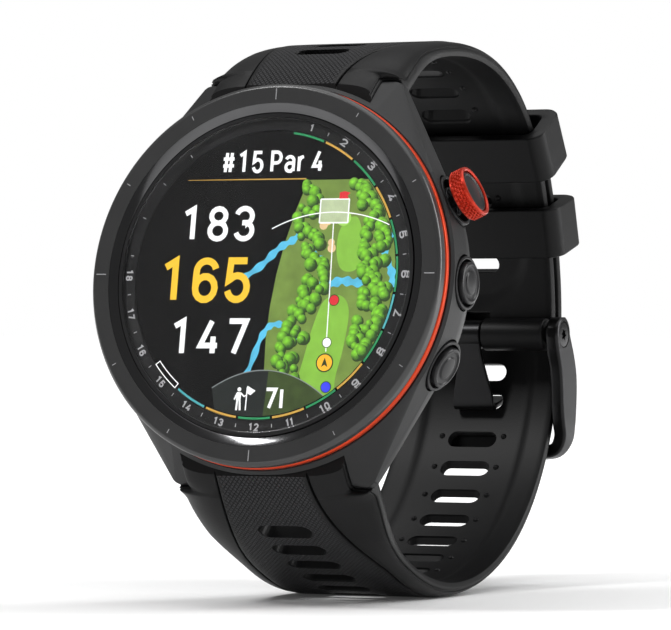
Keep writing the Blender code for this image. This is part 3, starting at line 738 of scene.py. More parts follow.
# Each character is a list of pen strokes in a box one unit wide and one high. The last item
# is the character's own width.
PEN = {
    "0": ([bow(0.5, 0.7, 0.5, 0.3, 0, 180) + bow(0.5, 0.3, 0.5, 0.3, 180, 360) + [(1, 0.7)]], 1.0),
    "1": ([[(0.06, 0.84), (0.56, 1.0), (0.56, 0.0)]], 1.0),
    "2": ([bow(0.5, 0.7, 0.5, 0.3, 170, -10) + [(0.9, 0.52), (0.02, 0.0), (1, 0.0)]], 1.0),
    "3": ([bow(0.48, 0.74, 0.48, 0.26, 165, -60) + [(0.72, 0.53), (0.36, 0.53)],
           [(0.36, 0.53), (0.6, 0.53)] + bow(0.5, 0.27, 0.5, 0.27, 60, -165)], 1.0),
    "4": ([[(0.62, 1.0), (0.0, 0.24), (1.0, 0.24)], [(0.74, 0.52), (0.74, 0.0)]], 1.0),
    "5": ([[(0.94, 1.0), (0.12, 1.0), (0.06, 0.5)] + bow(0.5, 0.31, 0.5, 0.31, 135, -165)], 1.0),
    "6": ([bow(0.52, 0.72, 0.5, 0.28, 15, 180) + bow(0.5, 0.3, 0.5, 0.3, 180, 540)], 1.0),
    "7": ([[(0.0, 1.0), (1.0, 1.0), (0.36, 0.0)]], 1.0),
    "8": ([bow(0.5, 0.76, 0.45, 0.24, -90, 270), bow(0.5, 0.27, 0.5, 0.27, 90, 450)], 1.0),
    "9": ([bow(0.48, 0.28, 0.5, 0.28, 195, 360) + bow(0.5, 0.7, 0.5, 0.3, 0, 360)], 1.0),
    "#": ([[(0.42, 1.0), (0.28, 0.0)], [(0.98, 1.0), (0.84, 0.0)], [(0.0, 0.68), (1.26, 0.68)],
           [(0.0, 0.32), (1.26, 0.32)]], 1.26),
    "P": ([[(0, 0), (0, 1.0), (0.5, 1.0)] + bow(0.5, 0.72, 0.5, 0.28, 90, -90) + [(0, 0.44)]],
          1.0),
    "a": ([bow(0.42, 0.55, 0.44, 0.2, 160, 0) + [(0.86, 0.0)],
           [(0.86, 0.42), (0.4, 0.42)] + bow(0.4, 0.21, 0.4, 0.21, 90, 270)
           + [(0.6, 0.0), (0.86, 0.16)]], 0.86),
    "r": ([[(0.0, 0.75), (0.0, 0.0)], [(0.0, 0.5), (0.2, 0.7), (0.5, 0.75)]], 0.5),
    "I": ([[(0.0, 0.0), (0.0, 1.0)]], 0.0),
    " ": ([], 0.42),
}


def add_stroke(bm, points, half, place):
    """A pen stroke of even width with mitred corners. place turns (x, y) into a vertex."""
    points = [Vector(p) for n, p in enumerate(points) if not n or p != points[n - 1]]
    rows = []
    for n, point in enumerate(points):
        before = (point - points[n - 1]).normalized() if n else None
        after = (points[n + 1] - point).normalized() if n + 1 < len(points) else None
        before, after = before or after, after or before
        along = (before + after).normalized()
        stretch = min(1.0 / max(along.dot(before), 0.45), 2.2)
        across = Vector((-along.y, along.x)) * half * stretch
        rows.append([bm.verts.new(place(p)) for p in (point + across, point - across)])
    join_rows(bm, rows)


def lettering(name, text, box, look, depth, weight=0.16, turn=0.0, slot="screen"):
    """Drawn figures that fill a box of (low x, high x, low z, high z). The pen's width is
    weight times the height, and turn is a clockwise angle about the box's middle."""
    low_x, high_x, low_z, high_z = box
    tall = high_z - low_z
    half = 0.5 * weight * tall
    widths = [PEN[character][1] for character in text]
    gaps = [0.27 * tall if " " not in pair else 0.16 * tall for pair in zip(text, text[1:])]
    natural = 0.42 * tall * sum(widths) + sum(gaps)
    stretch = (high_x - low_x - 2 * half) / natural
    unit = 0.42 * tall * stretch
    middle = Vector(((low_x + high_x) / 2, (low_z + high_z) / 2))

    def place(point):
        x, z = point.x - middle.x, point.y - middle.y
        return (x * math.cos(turn) + z * math.sin(turn) + middle.x, depth,
                z * math.cos(turn) - x * math.sin(turn) + middle.y)

    bm = bmesh.new()
    left = low_x + half
    for character, width, gap in zip(text, widths, gaps + [0.0]):
        for stroke in PEN[character][0]:
            line = [(left + x * unit, low_z + half + y * (tall - 2 * half)) for x, y in stroke]
            add_stroke(bm, line, half, place)
        left += width * unit + gap * stretch
    picture(name, look, bm, slot)


def make_numbers():
    for name, text, box, look, number, weight in (
            ("title", "#15 Par 4", (-7.05, 6.8, 12.5, 15.3), "lit_white", 6, 0.15),
            ("far", "183", (-11.9, -1.9, 4.1, 8.5), "lit_white", 6, 0.15),
            ("middle", "165", (-14.2, -1.9, -3.5, 2.15), "lit_gold", 6, 0.154),
            ("near", "147", (-12.2, -1.65, -10.0, -5.35), "lit_white", 6, 0.15),
            ("club", "7I", (1.2, 3.7, -16.5, -13.8), "lit_white", 7, 0.16)):
        lettering(f"screen_{name}", text, box, look, layer(number), weight)
    drawn("screen_rule", "lit_bronze",
          (add_ribbon, [(-11.5, 11.75), (-4.0, 11.75), (4.6, 11.75)], [0.03, 0.06, 0.08], 5))


HOLE_COLOURS = ["green", "bronze", "green", "bronze", "green", "green", "teal", "green", "bronze",
                "green", "bronze", "green", "bronze", "teal"]


def make_hole_scale():
    """Coloured arcs for the holes played, a box for the present one, and the numbers round it."""
    pitch, half_arc, number_radius, half_height = 15, 7.0, 18.62, 0.47
    for key in ("green", "bronze", "teal"):
        middles = [pitch * (n + 1) for n, colour in enumerate(HOLE_COLOURS) if colour == key]
        drawn(f"hole_arcs_{key}", f"lit_{key}",
              *((add_arc, middle - half_arc, middle + half_arc, 17.45, 17.72, 5)
                for middle in middles))
    start, stop = 218.5, 231.5
    drawn("hole_box", "lit_white", (add_arc, start, stop, 17.05, 17.17, 7),
          (add_arc, start, stop, 17.72, 17.84, 7),
          *((add_arc, angle - 0.2, angle + 0.2, 17.05, 17.84, 7) for angle in (start, stop)))
    ticks = bmesh.new()
    for n in range(21):
        flat_bar(ticks, math.radians(1.5 * pitch + pitch * n), 18.35, 18.8, 0.05, SCALE_FRONT)
    # The printed ticks and numbers glow, as painted light
    finish(ticks, "scale_ticks", "print", "ink")
    for number in range(1, 19):
        angle = math.radians(pitch * number)
        turn = angle if number <= 6 else angle + math.pi
        x, z = number_radius * math.sin(angle), number_radius * math.cos(angle)
        half = (0.85 if number > 9 else 0.46) - 0.15 * str(number).count("1")
        box = (x - half, x + half, z - half_height, z + half_height)
        lettering(f"scale_number_{number}", str(number), box, "print", SCALE_FRONT, 0.2, turn,
                  "ink")


# Corners of the window round the green
GREEN_WINDOW = [(6.8, 6.3), (10.6, 6.3), (10.6, 9.2), (6.8, 9.2)]


def left_edge(z):
    """Left side of the map at a height on the display."""
    t = (11.6 - z) / 29.0
    return 4.9 - 11.8 * t + 8.4 * t * t


WATER_RUNS = [
    # points along the middle, half width
    ([(-3.2, -0.6), (-0.5, 1.2), (1.6, 3.2), (3.4, 4.2), (4.6, 5.2)], 0.42),
    ([(6.2, 2.4), (7.5, 1.5), (7.8, -0.6), (8.6, -1.2), (10.4, -0.8), (12.4, -1.0),
      (14.4, -0.7)], 0.5),
    ([(-3.4, -14.6), (-1.4, -12.0), (0.0, -8.0), (1.2, -6.3), (3.0, -6.2), (4.6, -7.4),
      (5.6, -8.0)], 0.36),
    ([(16.6, 5.0), (15.6, 4.2), (16.0, 2.0), (16.9, 0.2), (17.1, -1.6)], 0.45),
]


def make_map():
    """An invented hole: rough, fairway, green, bunker, water and trees."""
    left = [(left_edge(z), z) for z in (11.6, 8, 4, 0, -4, -8, -12, -16.6)]
    rim = rim_points(48, 6.15, 21)
    drawn("map_rough", "lit_rough", (add_flat, clipped(left) + list(reversed(rim)), 0))
    lower = [(6.6, -17.2), (5.3, -14.2), (6.2, -9.5), (7.0, -6.2), (8.2, -3.2), (10.4, -2.6),
             (11.6, -4.5), (11.2, -9.0), (10.4, -13.0), (10.9, -16.2)]
    upper = [(10.9, 7.0), (9.6, 5.4), (9.4, 2.6), (10.2, 0.6), (12.0, 0.5), (12.9, 2.4),
             (12.6, 5.2), (11.9, 6.9), (10.9, 7.0)]
    drawn("map_fairway", "lit_fairway", (add_flat, clipped(curve_pairs(lower, 6)), 1),
          (add_flat, curve_pairs(upper, 6), 1))
    drawn("map_green", "lit_putting", (add_disc, 10.0, 6.9, 1.0, 2), (add_disc, 9.2, 8.0, 1.2, 2))
    drawn("green_window", "lit_window", (add_flat, GREEN_WINDOW, 4.2))
    drawn("map_sand", "lit_sand", (add_disc, 7.4, 6.0, 0.55, 3), (add_disc, 8.6, 3.9, 0.45, 3),
          (add_disc, 8.7, 3.2, 0.55, 3), (add_disc, 8.0, 6.4, 0.4, 3))
    water = bmesh.new()
    for points, width in WATER_RUNS:
        run = curve_pairs(points, 10)
        widths = [width * (1 + 0.3 * math.sin(n * 0.9)) for n in range(len(run))]
        add_ribbon(water, clipped(run), widths, 2)
    picture("map_water", "lit_water", water)
    make_trees(random.Random(18))


LEFT_TREES = [(5.6, 11.0), (4.9, 7.0), (5.8, 4.0), (6.8, 1.5), (6.7, -1.0), (5.6, -4.0),
              (4.6, -7.0), (3.6, -10.0), (4.0, -13.0)]
RIGHT_TREES = [(12.6, 11.0), (13.9, 8.0), (14.6, 5.0), (14.2, 2.0), (14.9, -1.0), (14.6, -4.0),
               (13.9, -7.0), (13.3, -10.0)]


def curve_pairs(points, steps):
    return [tuple(p) for p in curve_through(points, steps)]


def make_trees(rng):
    """Round tree tops in two belts beside the fairway, each over a soft shadow."""
    spots = []
    for run, count, loose in ((LEFT_TREES, 90, 1.4), (RIGHT_TREES, 118, 1.75)):
        path = curve_through(run, 12)
        for n in range(count):
            middle = path[int(n * (len(path) - 1) / (count - 1))]
            spots.append((middle.x + rng.uniform(-loose, loose),
                          middle.y + rng.uniform(-0.35, 0.35), rng.uniform(0.46, 0.8)))
    shadows, balls = bmesh.new(), bmesh.new()
    round_map = balls.loops.layers.uv.new("ball")
    for n, (x, z, size) in enumerate(spots):
        x, z = clipped([(x, z)], 17.2 - size)[0]
        level = 4 + 0.012 * n
        add_disc(shadows, x + 0.2 * size, z - 0.22 * size, size * 1.08, level, 14)
        add_disc(balls, x, z, size, level + 0.004, 16)
        balls.faces.ensure_lookup_table()
        for loop in balls.faces[-1].loops:
            loop[round_map].uv = ((loop.vert.co.x - x) / size, (loop.vert.co.z - z) / size)
    picture("tree_shadows", "lit_shade", shadows)
    picture("tree_tops", "lit_trees", balls)


def add_line(bm, points, half, number):
    add_ribbon(bm, points, [half] * len(points), number)


def make_markers():
    """Aiming lines, round markers with dark rims, and the flag over the green."""
    low_x, low_z = GREEN_WINDOW[0]
    high_x, high_z = GREEN_WINDOW[2]
    drawn("aim_lines", "lit_white", (add_arc_about, (8.7, -10.5), 18.1, -27.0, 27.0, 0.07, 6),
          (add_line, [(8.7, 6.3), (8.85, -1.0), (8.95, -9.4)], 0.07, 6),
          *((add_line, [(low_x, z), (high_x, z)], 0.09, 6) for z in (low_z, high_z)),
          *((add_line, [(x, low_z), (x, high_z)], 0.09, 6) for x in (low_x, high_x)))
    for name, x, z, radius, look in (("pin", 9.55, -3.15, 0.6, "lit_red"),
                                     ("lay_up", 9.0, -8.3, 0.55, "lit_white"),
                                     ("far_tee", 9.3, -13.7, 0.62, "lit_blue"),
                                     ("player", 8.9, -10.75, 1.0, "lit_orange")):
        drawn(f"{name}_marker_rim", "lit_shade", (add_disc, x, z, radius * 1.16, 7))
        drawn(f"{name}_marker", look, (add_disc, x, z, radius, 8))
    drawn("player_arrow", "lit_shade",
          (add_flat, [(8.9, -10.1), (9.35, -11.3), (8.9, -11.0), (8.45, -11.3)], 9))
    drawn("green_flag", "lit_red",
          (add_flat, [(9.25, 9.25), (9.25, 10.0), (9.9, 10.15), (10.7, 9.95), (10.3, 9.6),
                      (10.5, 9.25)], 7))


def make_club_panel():
    """The dark panel at the foot of the display, with a small golfer."""
    top = [(x, -11.7 - 0.046 * (x - 0.9) ** 2) for x in [-6.0 + 0.5 * n for n in range(31)]]
    drawn("club_panel", "lit_panel", (add_flat, top + rim_points(149, 2.6, 20), 6.2))
    shared = [(x, z - 0.1) for x, z in top if x > 1.0]
    drawn("club_panel_ground", "lit_dim_rough",
          (add_flat, shared + rim_points(151, 2.1, 13, 17.3), 6.35))
    drawn("club_panel_rim", "lit_panel_rim", (add_line, top, 0.06, 6.5))
    limbs = (([(-2.25, -14.4), (-2.3, -15.4)], 0.3), ([(-2.5, -14.5), (-2.85, -15.3)], 0.1),
             ([(-2.0, -14.5), (-1.55, -14.9), (-1.15, -14.7)], 0.1),
             ([(-2.42, -15.3), (-2.5, -16.6)], 0.13), ([(-2.12, -15.3), (-2.0, -16.6)], 0.13),
             ([(-1.2, -13.8), (-1.25, -16.6)], 0.08))
    drawn("club_figure", "lit_white", (add_disc, -2.25, -14.05, 0.26, 7),
          *((add_line, points, half, 7) for points, half in limbs),
          (add_flat, [(-1.2, -13.6), (-1.2, -14.5), (-0.7, -14.75), (-0.05, -14.2)], 7))


def add_arc_about(bm, centre, radius, start, stop, half, number):
    points = []
    for n in range(41):
        angle = math.radians(start + (stop - start) * n / 40)
        points.append((centre[0] + radius * math.sin(angle), centre[1] + radius * math.cos(angle)))
    add_line(bm, [p for p in points if math.hypot(*p) < 17.3], half, number)


# ---------------------------------------------------------------- buttons

def make_button(name):
    place = on_button(name)
    body = f"button_{name}"
    collar = rounded([(1.2, 22.3), (3.25, 22.3), (3.25, 24.05, 0.16), (2.85, 24.05, 0.1),
                      (2.85, 22.7), (1.2, 22.7)])
    turned(f"{name}_collar", collar, "button", "polymer", [f"button_{name}_collar"], 96,
           "X", place=place)
    if name == "upper":
        head = rounded([(0.8, 24.6), (2.6, 24.6), (2.6, 26.5, 0.1), (2.3, 26.68, 0.1),
                        (2.05, 26.5, 0.08), (1.3, 26.55), (0, 26.6)])
    else:
        head = rounded([(0.8, 23.9), (2.55, 23.9), (2.55, 24.5, 0.12), (2.2, 24.6, 0.08),
                        (2.0, 24.42, 0.08), (1.5, 24.42, 0.06), (1.3, 24.6, 0.12), (0, 24.68)])
    stem = [(0, 19.2), (0.8, 19.2), (0.8, 19.65), (0.5, 19.65), (0.5, 20.05), (0.8, 20.05)]
    turned(f"{name}_push_cap", stem + head, "button", "polymer", [f"button_{name}_cap"],
           96, "X", body=body, place=place)


def coil_rings(turns, radius, wire, start, end):
    """Sections of a spring's wire, wound about X from start to end."""
    steps, sides = 24, 8
    rings = []
    for n in range(int(turns * steps) + 1):
        share = n / (turns * steps)
        angle = 2 * math.pi * turns * share
        along = start + wire + (end - start - 2 * wire) * share
        rings.append([(along + b, (radius + a) * math.cos(angle), (radius + a) * math.sin(angle))
                      for a, b in circle(wire, sides)])
    return rings


def make_spring(name, rings, place):
    """A spring's coil, with a mesh of its own."""
    spring = loft(f"{name}_coil", rings, "dark_steel", "steel", [name], place=place)
    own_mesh(spring)


def make_springs():
    for name in BUTTON_ANGLES:
        make_spring(f"button_{name}_spring", coil_rings(2.5, 1.75, 0.12, 22.8, 23.84),
                    on_button(name))
    for end, side in (("top", 1), ("bottom", -1)):
        pin = on_pin(side)
        pin.translation *= MM
        make_spring(f"lug_spring_{end}", coil_rings(4, 0.42, 0.08, 3.2, 6.0),
                    pin)


def make_grip():
    """Ring with a diamond knurl between two smooth rims."""
    around, rows, diamonds = 180, 22, 30
    low, high = 24.75, 26.8
    rings = []
    for row in range(rows + 1):
        along = low + 0.3 + (high - low - 0.65) * row / rows
        ring = []
        for n in range(around):
            angle = 2 * math.pi * n / around
            first = (diamonds * n / around + along / 0.66) % 1.0
            second = (diamonds * n / around - along / 0.66) % 1.0
            peak = 1 - 2 * max(abs(first - 0.5), abs(second - 0.5))
            radius = 2.99 + 0.22 * min(1.0, 1.6 * peak)
            ring.append((along, radius * math.cos(angle), radius * math.sin(angle)))
        rings.append(ring)

    def plain(radius, along):
        return [(along, a, b) for a, b in circle(radius, around)]

    start = [plain(2.66, low), plain(2.9, low), plain(3.02, low + 0.1), plain(3.02, low + 0.24)]
    end = [plain(3.1, high - 0.33), plain(3.14, high - 0.3), plain(3.14, high - 0.12),
           plain(3.03, high), plain(2.82, high), plain(2.68, high - 0.12)]
    loft("upper_grip_ring", start + rings + end, "red_metal", "red_metal",
         ["button_upper_grip"], closed=True, body="button_upper", place=on_button("upper"))


# ---------------------------------------------------------------- strap

def half_width(degrees):
    angle = abs(degrees)
    if angle >= FLARE_DEG[0]:
        flare = smooth(angle, *FLARE_DEG)
        return FLARE_HALF_WIDTH + SKIRT + (LUG_HALF_WIDTH - FLARE_HALF_WIDTH - SKIRT) * flare
    taper = smooth(angle, *TAPER_DEG)
    skirt = SKIRT * smooth(angle, *SKIRT_DEG)
    return REAR_HALF_WIDTH + (FLARE_HALF_WIDTH - REAR_HALF_WIDTH) * taper + skirt


def swell(degrees):
    low, high = SWELL_DEG
    if not low < degrees < high:
        return 0.0
    return SWELL * math.sin(math.pi * (degrees - low) / (high - low)) ** 2


def rise(degrees):
    """How far both straps swell outwards where they overlap above the back of the wrist."""
    return RISE * smooth(degrees, *RISE_DEG) + swell(degrees)


def strap_radii(degrees, nested):
    if nested and degrees < RISE_DEG[1]:
        share = smooth(degrees, *RISE_DEG)
        full = swell(degrees)
        return (NESTED_INNER + (STRAP_INNER - NESTED_INNER) * share + full,
                NESTED_OUTER + (STRAP_OUTER - NESTED_OUTER) * share + full)
    angle = abs(degrees)
    outer = STRAP_OUTER
    if not nested:
        outer += (STRAP_OUTER_REAR - STRAP_OUTER) * (1 - smooth(angle, 60.0, 90.0))
    outer += (STRAP_OUTER_LUG - STRAP_OUTER) * smooth(angle, *THICKENING_DEG)
    lift = swell(degrees) if nested else rise(degrees)
    return STRAP_INNER + lift, outer + lift


def textured_half_width(degrees):
    return min(9.0 - 2.9 * smooth(abs(degrees), 106.0, 142.0), half_width(degrees) - 2.1)


def channel(x, degrees, nested):
    """Depth of the shallow channel inside a strap. It ends in a round below the lugs, and on
    the short strap also at the buckle."""
    reach, edge = abs(x), 0.45
    if nested and degrees < 27.0:
        reach = math.hypot(x, (27.0 - degrees) * CHANNEL_HALF_WIDTH / 13.0)
    if abs(degrees) > 128.0:
        reach = math.hypot(x, (abs(degrees) - 128.0) * CHANNEL_HALF_WIDTH / 10.0)
    return CHANNEL_DEPTH * (1 - smooth(reach, CHANNEL_HALF_WIDTH - edge,
                                       CHANNEL_HALF_WIDTH + edge))


def strap_section(degrees, nested, scale=1.0):
    """Cross-section as (x, radius, textured) points, anticlockwise from the inner right corner."""
    inner, outer = strap_radii(degrees, nested)
    half = half_width(degrees) * scale
    depth = outer - inner
    edge = inner + min(0.55 * depth, 1.9)
    edge += (0.8 * depth + inner - edge) * smooth(abs(degrees), *FILLED_DEG)
    zone = textured_half_width(degrees) * scale
    right = [(half - 0.6, inner), (half - 0.22, inner + 0.07 * depth), (half, inner + 0.28 * depth),
             (half, edge - 0.2), (half - 0.05, edge - 0.1), (half - 0.24, edge - 0.04),
             (half - 0.26, edge + 0.08), (half - 0.18, edge + 0.2)]
    start, stop = right[-1], (zone + 0.34, outer - 0.1)
    for n in range(1, 7):
        t = n / 6
        right.append((start[0] + (stop[0] - start[0]) * (1 - math.cos(t * math.pi / 2)) ** 0.85,
                      start[1] + (stop[1] - start[1]) * math.sin(t * math.pi / 2)))
    right += [(zone + 0.26, outer - 0.16), (zone + 0.18, outer - 0.42), (zone + 0.02, outer - 0.42),
              (zone - 0.06, outer - 0.06), (zone - 0.16, outer)]
    points = [(x, radius, 0.0) for x, radius in right]
    steps = 16
    reach = zone - 0.16
    points += [(reach - 2 * reach * n / steps, outer, 1.0) for n in range(1, steps)]
    points += [(-x, radius, 0.0) for x, radius in reversed(right)]
    width = half - 0.6
    for n in range(1, 40):
        x = -width + 2 * width * n / 40
        points.append((x, inner + channel(x, degrees, nested), 0.0))
    return points


def on_loop(x, radius, degrees):
    angle = math.radians(degrees)
    return (x, LOOP_DEPTH + radius * math.cos(angle), radius * math.sin(angle))


def strap_mesh(sections, name, nodes):
    """Lofts (degrees, section) pairs, with coordinates in millimetres for the rubber's knit."""
    bm = bmesh.new()
    flat = bm.loops.layers.uv.new("millimetres")
    zones = bm.loops.layers.uv.new("zone")
    data = {}
    loops = []
    for degrees, section in sections:
        ring = []
        for x, radius, textured in section:
            vert = bm.verts.new(on_loop(x, radius, degrees))
            data[vert] = ((x, math.radians(degrees) * 35.0), (textured, 0.0))
            ring.append(vert)
        loops.append(ring)
    join_loops(bm, loops)
    for face in bm.faces:
        for loop in face.loops:
            loop[flat].uv, loop[zones].uv = data[loop.vert]
    return finish(bm, name, "strap", "rubber", nodes, sharp=40.0)


def stations(start, end):
    count = math.ceil(abs(end - start) / 1.25)
    angles = [start + (end - start) * n / count for n in range(count + 1)]
    for n in range(9):
        flare = FLARE_DEG[0] + (FLARE_DEG[1] - FLARE_DEG[0]) * n / 8
        angles += [a for a in (flare, -flare) if min(start, end) < a < max(start, end)]
    return sorted(set(angles))


def long_slot_angles():
    below = [-9.35] + [-10.75 - 8.25 * n + 0.04 * n * n for n in range(1, 16)]
    above = [-2.6 + 8.5 * n for n in range(6)]
    return below + above


def short_slot_angles():
    return [23.3 + 7.85 * n for n in range(14)]


def slot_outline(grow):
    """Round-ended slot as (x, along) points."""
    height = SLOT_HALF_HEIGHT + grow
    outline = []
    for side in (1, -1):
        for n in range(11):
            turn = math.radians(-90 + 18 * n)
            x = side * (SLOT_HALF_LENGTH - SLOT_HALF_HEIGHT + height * math.cos(turn))
            outline.append((x, side * height * math.sin(turn)))
    return outline


def slots(angles, nested):
    """Tools for the slots, each with softened rims on both faces of the strap."""
    bm = bmesh.new()
    for degrees in angles:
        inner, outer = strap_radii(degrees, nested)
        angle = math.radians(degrees)
        out = Vector((0, math.cos(angle), math.sin(angle)))
        along = Vector((0, -math.sin(angle), math.cos(angle)))
        rings = []
        low, high = NARROW_NESTED_SLOTS_DEG if nested else NARROW_SLOTS_DEG
        narrow, lift = (0.3, -0.55 if nested else 0.25) if low < degrees < high else (0.0, 0.0)
        for radius, grow, up in (
                (inner - 0.5, 0.5, lift), (inner + 0.04, 0.2, lift), (inner + 0.2, 0.02, lift),
                (inner + 0.5, -0.04, lift), (outer - 0.5, -narrow, -0.4 * lift),
                (outer - 0.22, -0.5 * narrow, 0), (outer - 0.04, 0.12, 0),
                (outer + 0.6, 0.6, 0)):
            rings.append([Vector((x, LOOP_DEPTH, 0)) + out * radius + along * (s + up)
                          for x, s in slot_outline(grow)])
        add_loft(bm, rings)
    return bm


def on_pin(side):
    angle = math.atan2(side * PIN_Z, PIN_DEPTH - LOOP_DEPTH)
    return Matrix.Translation((0, PIN_DEPTH, side * PIN_Z)) @ Matrix.Rotation(angle, 4, "X")


def cut_strap_end(strap, side):
    """Trims a strap between the lugs and makes room for its pin and the latch's knob."""
    low_z, high_z = sorted((0.0, side * 21.5))
    carve_box(strap, (-20, -8.0, -40.0), (20, 3.7, 40.0))
    carve_box(strap, (-20, 3.0, low_z), (20, 12.0, high_z))
    carve_turned(strap, [(0, -15.0), (1.3, -15.0), (1.3, 15.0), (0, 15.0)], 48, "X",
                 place=Matrix.Translation((0, PIN_DEPTH, side * PIN_Z)))
    carve_box(strap, (4.6, -6.0, -0.9), (9.9, 0.0, 0.9), place=on_pin(side))


def add_pips(name, angles, nested):
    """Small raised dots inside the strap, beside the ends of the slots."""
    bm = bmesh.new()
    for degrees in angles:
        for side in (-1, 1):
            x = side * (SLOT_HALF_LENGTH + 0.95)
            inner = strap_radii(degrees, nested)[0] + channel(x, degrees, nested)
            place = Matrix.Translation(on_loop(x, inner + 0.12, degrees + 0.8))
            bmesh.ops.create_icosphere(bm, subdivisions=3, radius=0.42, matrix=place)
    finish(bm, name, "rubber", "rubber")


def make_long_strap():
    sections = [(a, strap_section(a, False)) for a in stations(-STRAP_END_DEG, LONG_FULL_DEG)]
    for n in range(1, 13):
        turn = math.radians(84 * n / 12)
        angle = LONG_FULL_DEG + (LONG_TIP_DEG - LONG_FULL_DEG) * math.sin(turn)
        sections.append((angle, strap_section(angle, False, 0.35 + 0.65 * math.cos(turn))))
    strap = strap_mesh(sections, "long_strap", ["strap_long"])
    carve(strap, slots(long_slot_angles(), False))
    cut_strap_end(strap, -1)
    add_pips("long_strap_pips", [a for a in long_slot_angles() if a < -18], False)


def make_short_strap():
    sections = [(a, strap_section(a, True)) for a in stations(SHORT_START_DEG, STRAP_END_DEG)]
    strap = strap_mesh(sections, "short_strap", ["strap_short"])
    on_bar = Matrix.Translation((0, BAR_DEPTH, BAR_Z))
    lobes = rounded([(0, -10.7), (2.15, -10.7, 0.3), (2.15, 10.7, 0.3), (0, 10.7)])
    carve_turned(strap, lobes, 64, "X", place=on_bar, operation="UNION")
    carve_turned(strap, [(0, -15.0), (1.2, -15.0), (1.2, 15.0), (0, 15.0)], 48, "X",
                 place=on_bar)
    carve_box(strap, (-1.95, BAR_DEPTH - 4.0, BAR_Z - 4.0), (1.95, BAR_DEPTH + 4.0, BAR_Z + 3.2))
    carve(strap, slots(short_slot_angles(), True))
    cut_strap_end(strap, 1)
    add_pips("short_strap_pips", short_slot_angles()[1:], True)


# ---------------------------------------------------------------- keepers and buckle

def strap_frame(degrees):
    """Where the two straps meet at one angle: radius and centre of curvature, outward angle."""
    step = math.radians(0.5)
    angle = math.radians(degrees)
    base = (STRAP_INNER + NESTED_OUTER) / 2
    before, here, after = (base + rise(math.degrees(angle + n * step)) for n in (-1, 0, 1))
    slope = (after - before) / (2 * step)
    bend = (after - 2 * here + before) / step ** 2
    curvature = (here ** 2 + 2 * slope ** 2 - here * bend) / (here ** 2 + slope ** 2) ** 1.5
    outward = angle - math.atan2(slope, here)
    radius = 1 / curvature
    centre = (LOOP_DEPTH + here * math.cos(angle) - radius * math.cos(outward),
              here * math.sin(angle) - radius * math.sin(outward))
    return radius, centre, outward


def rounded_band(half, low, high, corner, steps=12):
    centres = [(half - corner, high - corner, 0), (-half + corner, high - corner, 90),
               (-half + corner, low + corner, 180), (half - corner, low + corner, 270)]
    outline = []
    for x, radius, start in centres:
        for n in range(steps + 1):
            angle = math.radians(start + 90 * n / steps)
            outline.append((x + corner * math.cos(angle), radius + corner * math.sin(angle)))
    return outline


def make_keepers():
    """Closed loops with softened rims, along the strap at the middle of each loop."""
    outside = [(KEEPER_HALF_LENGTH, 0.22), (3.22, 0.08), (3.05, 0.0)]
    inside = [(KEEPER_HALF_LENGTH, 0.18), (3.22, 0.06), (3.0, 0.0)]
    for name, degrees in KEEPER_ANGLES.items():
        radius, centre, outward = strap_frame(degrees)
        rings = []
        for along, shrink in [(-a, shrink) for a, shrink in outside] + outside[::-1]:
            band = rounded_band(KEEPER_HALF_WIDTH - shrink, radius - 4.25 + shrink,
                                radius + 4.0 - shrink, 2.1)
            rings.append([(x, y, along) for x, y in band])
        for along, grow in inside + [(-a, grow) for a, grow in inside[::-1]]:
            band = rounded_band(KEEPER_INNER_HALF_WIDTH + grow, radius - 2.9 - grow,
                                radius + 2.35 + grow, 1.3)
            rings.append([(x, y, along) for x, y in band])
        place = at(y=centre[0], z=centre[1], tilt=outward)
        loft(f"{name}_keeper_loop", rings, "rubber", "rubber", [f"keeper_{name}"], closed=True,
             body=f"keeper_{name}", place=place, sharp=50.0)


BUCKLE_PATH = [
    # across, height, front edge, rear edge, all from the bar's axis; one side of the loop
    (BUCKLE_ACROSS, -0.6, -2.2, 3.0), (BUCKLE_ACROSS, -2.4, -1.4, 4.3),
    (BUCKLE_ACROSS, -4.6, -0.1, 5.4), (BUCKLE_ACROSS, -7.0, 0.7, 5.9),
    (BUCKLE_ACROSS, -9.4, 1.3, 6.1), (BUCKLE_ACROSS, -11.4, 2.0, 6.1),
    (12.0, -13.2, 3.1, 6.1), (10.9, -14.7, 3.95, 6.0), (8.6, -15.0, 3.95, 5.8),
    (4.5, -14.6, 3.95, 5.75), (0.0, -14.55, 3.95, 5.75)]


def buckle_stations():
    """(across, height, front, rear) from the top of the right eye to the middle of the bar."""
    eye = []
    for n in range(9):
        height = EYE_RADIUS * math.cos(math.radians(4 + 11.2 * n))
        reach = math.sqrt(EYE_RADIUS ** 2 - height ** 2)
        eye.append((BUCKLE_ACROSS, height, -reach, reach))
    sides = curve_through([Vector(row[:3]) for row in BUCKLE_PATH], 5)
    rears = curve_through([Vector(row[1:]) for row in BUCKLE_PATH], 5)
    return eye[:-1] + [(p.x, p.y, p.z, q.z) for p, q in zip(sides, rears)]


def buckle_rings():
    half = buckle_stations()
    path = half + [(-x, z, front, rear) for x, z, front, rear in reversed(half[:-1])]
    rings = []
    for n, (x, z, front, rear) in enumerate(path):
        before, after = path[max(n - 1, 0)], path[min(n + 1, len(path) - 1)]
        along = Vector((after[0] - before[0], after[1] - before[1])).normalized()
        across = Vector((-along.y, along.x))
        thickness = 0.9 + 0.9 * smooth(9.6 - abs(x), 0.0, 3.0)
        corner = min(0.45, 0.45 * (rear - front))
        ring = []
        for s, y in rounded_band(thickness, front, rear, corner, 4):
            ring.append((x + across.x * s, y, z + across.y * s))
        rings.append(ring)
    return rings


def star(radius):
    """Outline of a six-lobed socket."""
    angles = [2 * math.pi * n / 48 for n in range(48)]
    return [((radius + 0.14 * math.cos(6 * a)) * math.cos(a),
             (radius + 0.14 * math.cos(6 * a)) * math.sin(a)) for a in angles]


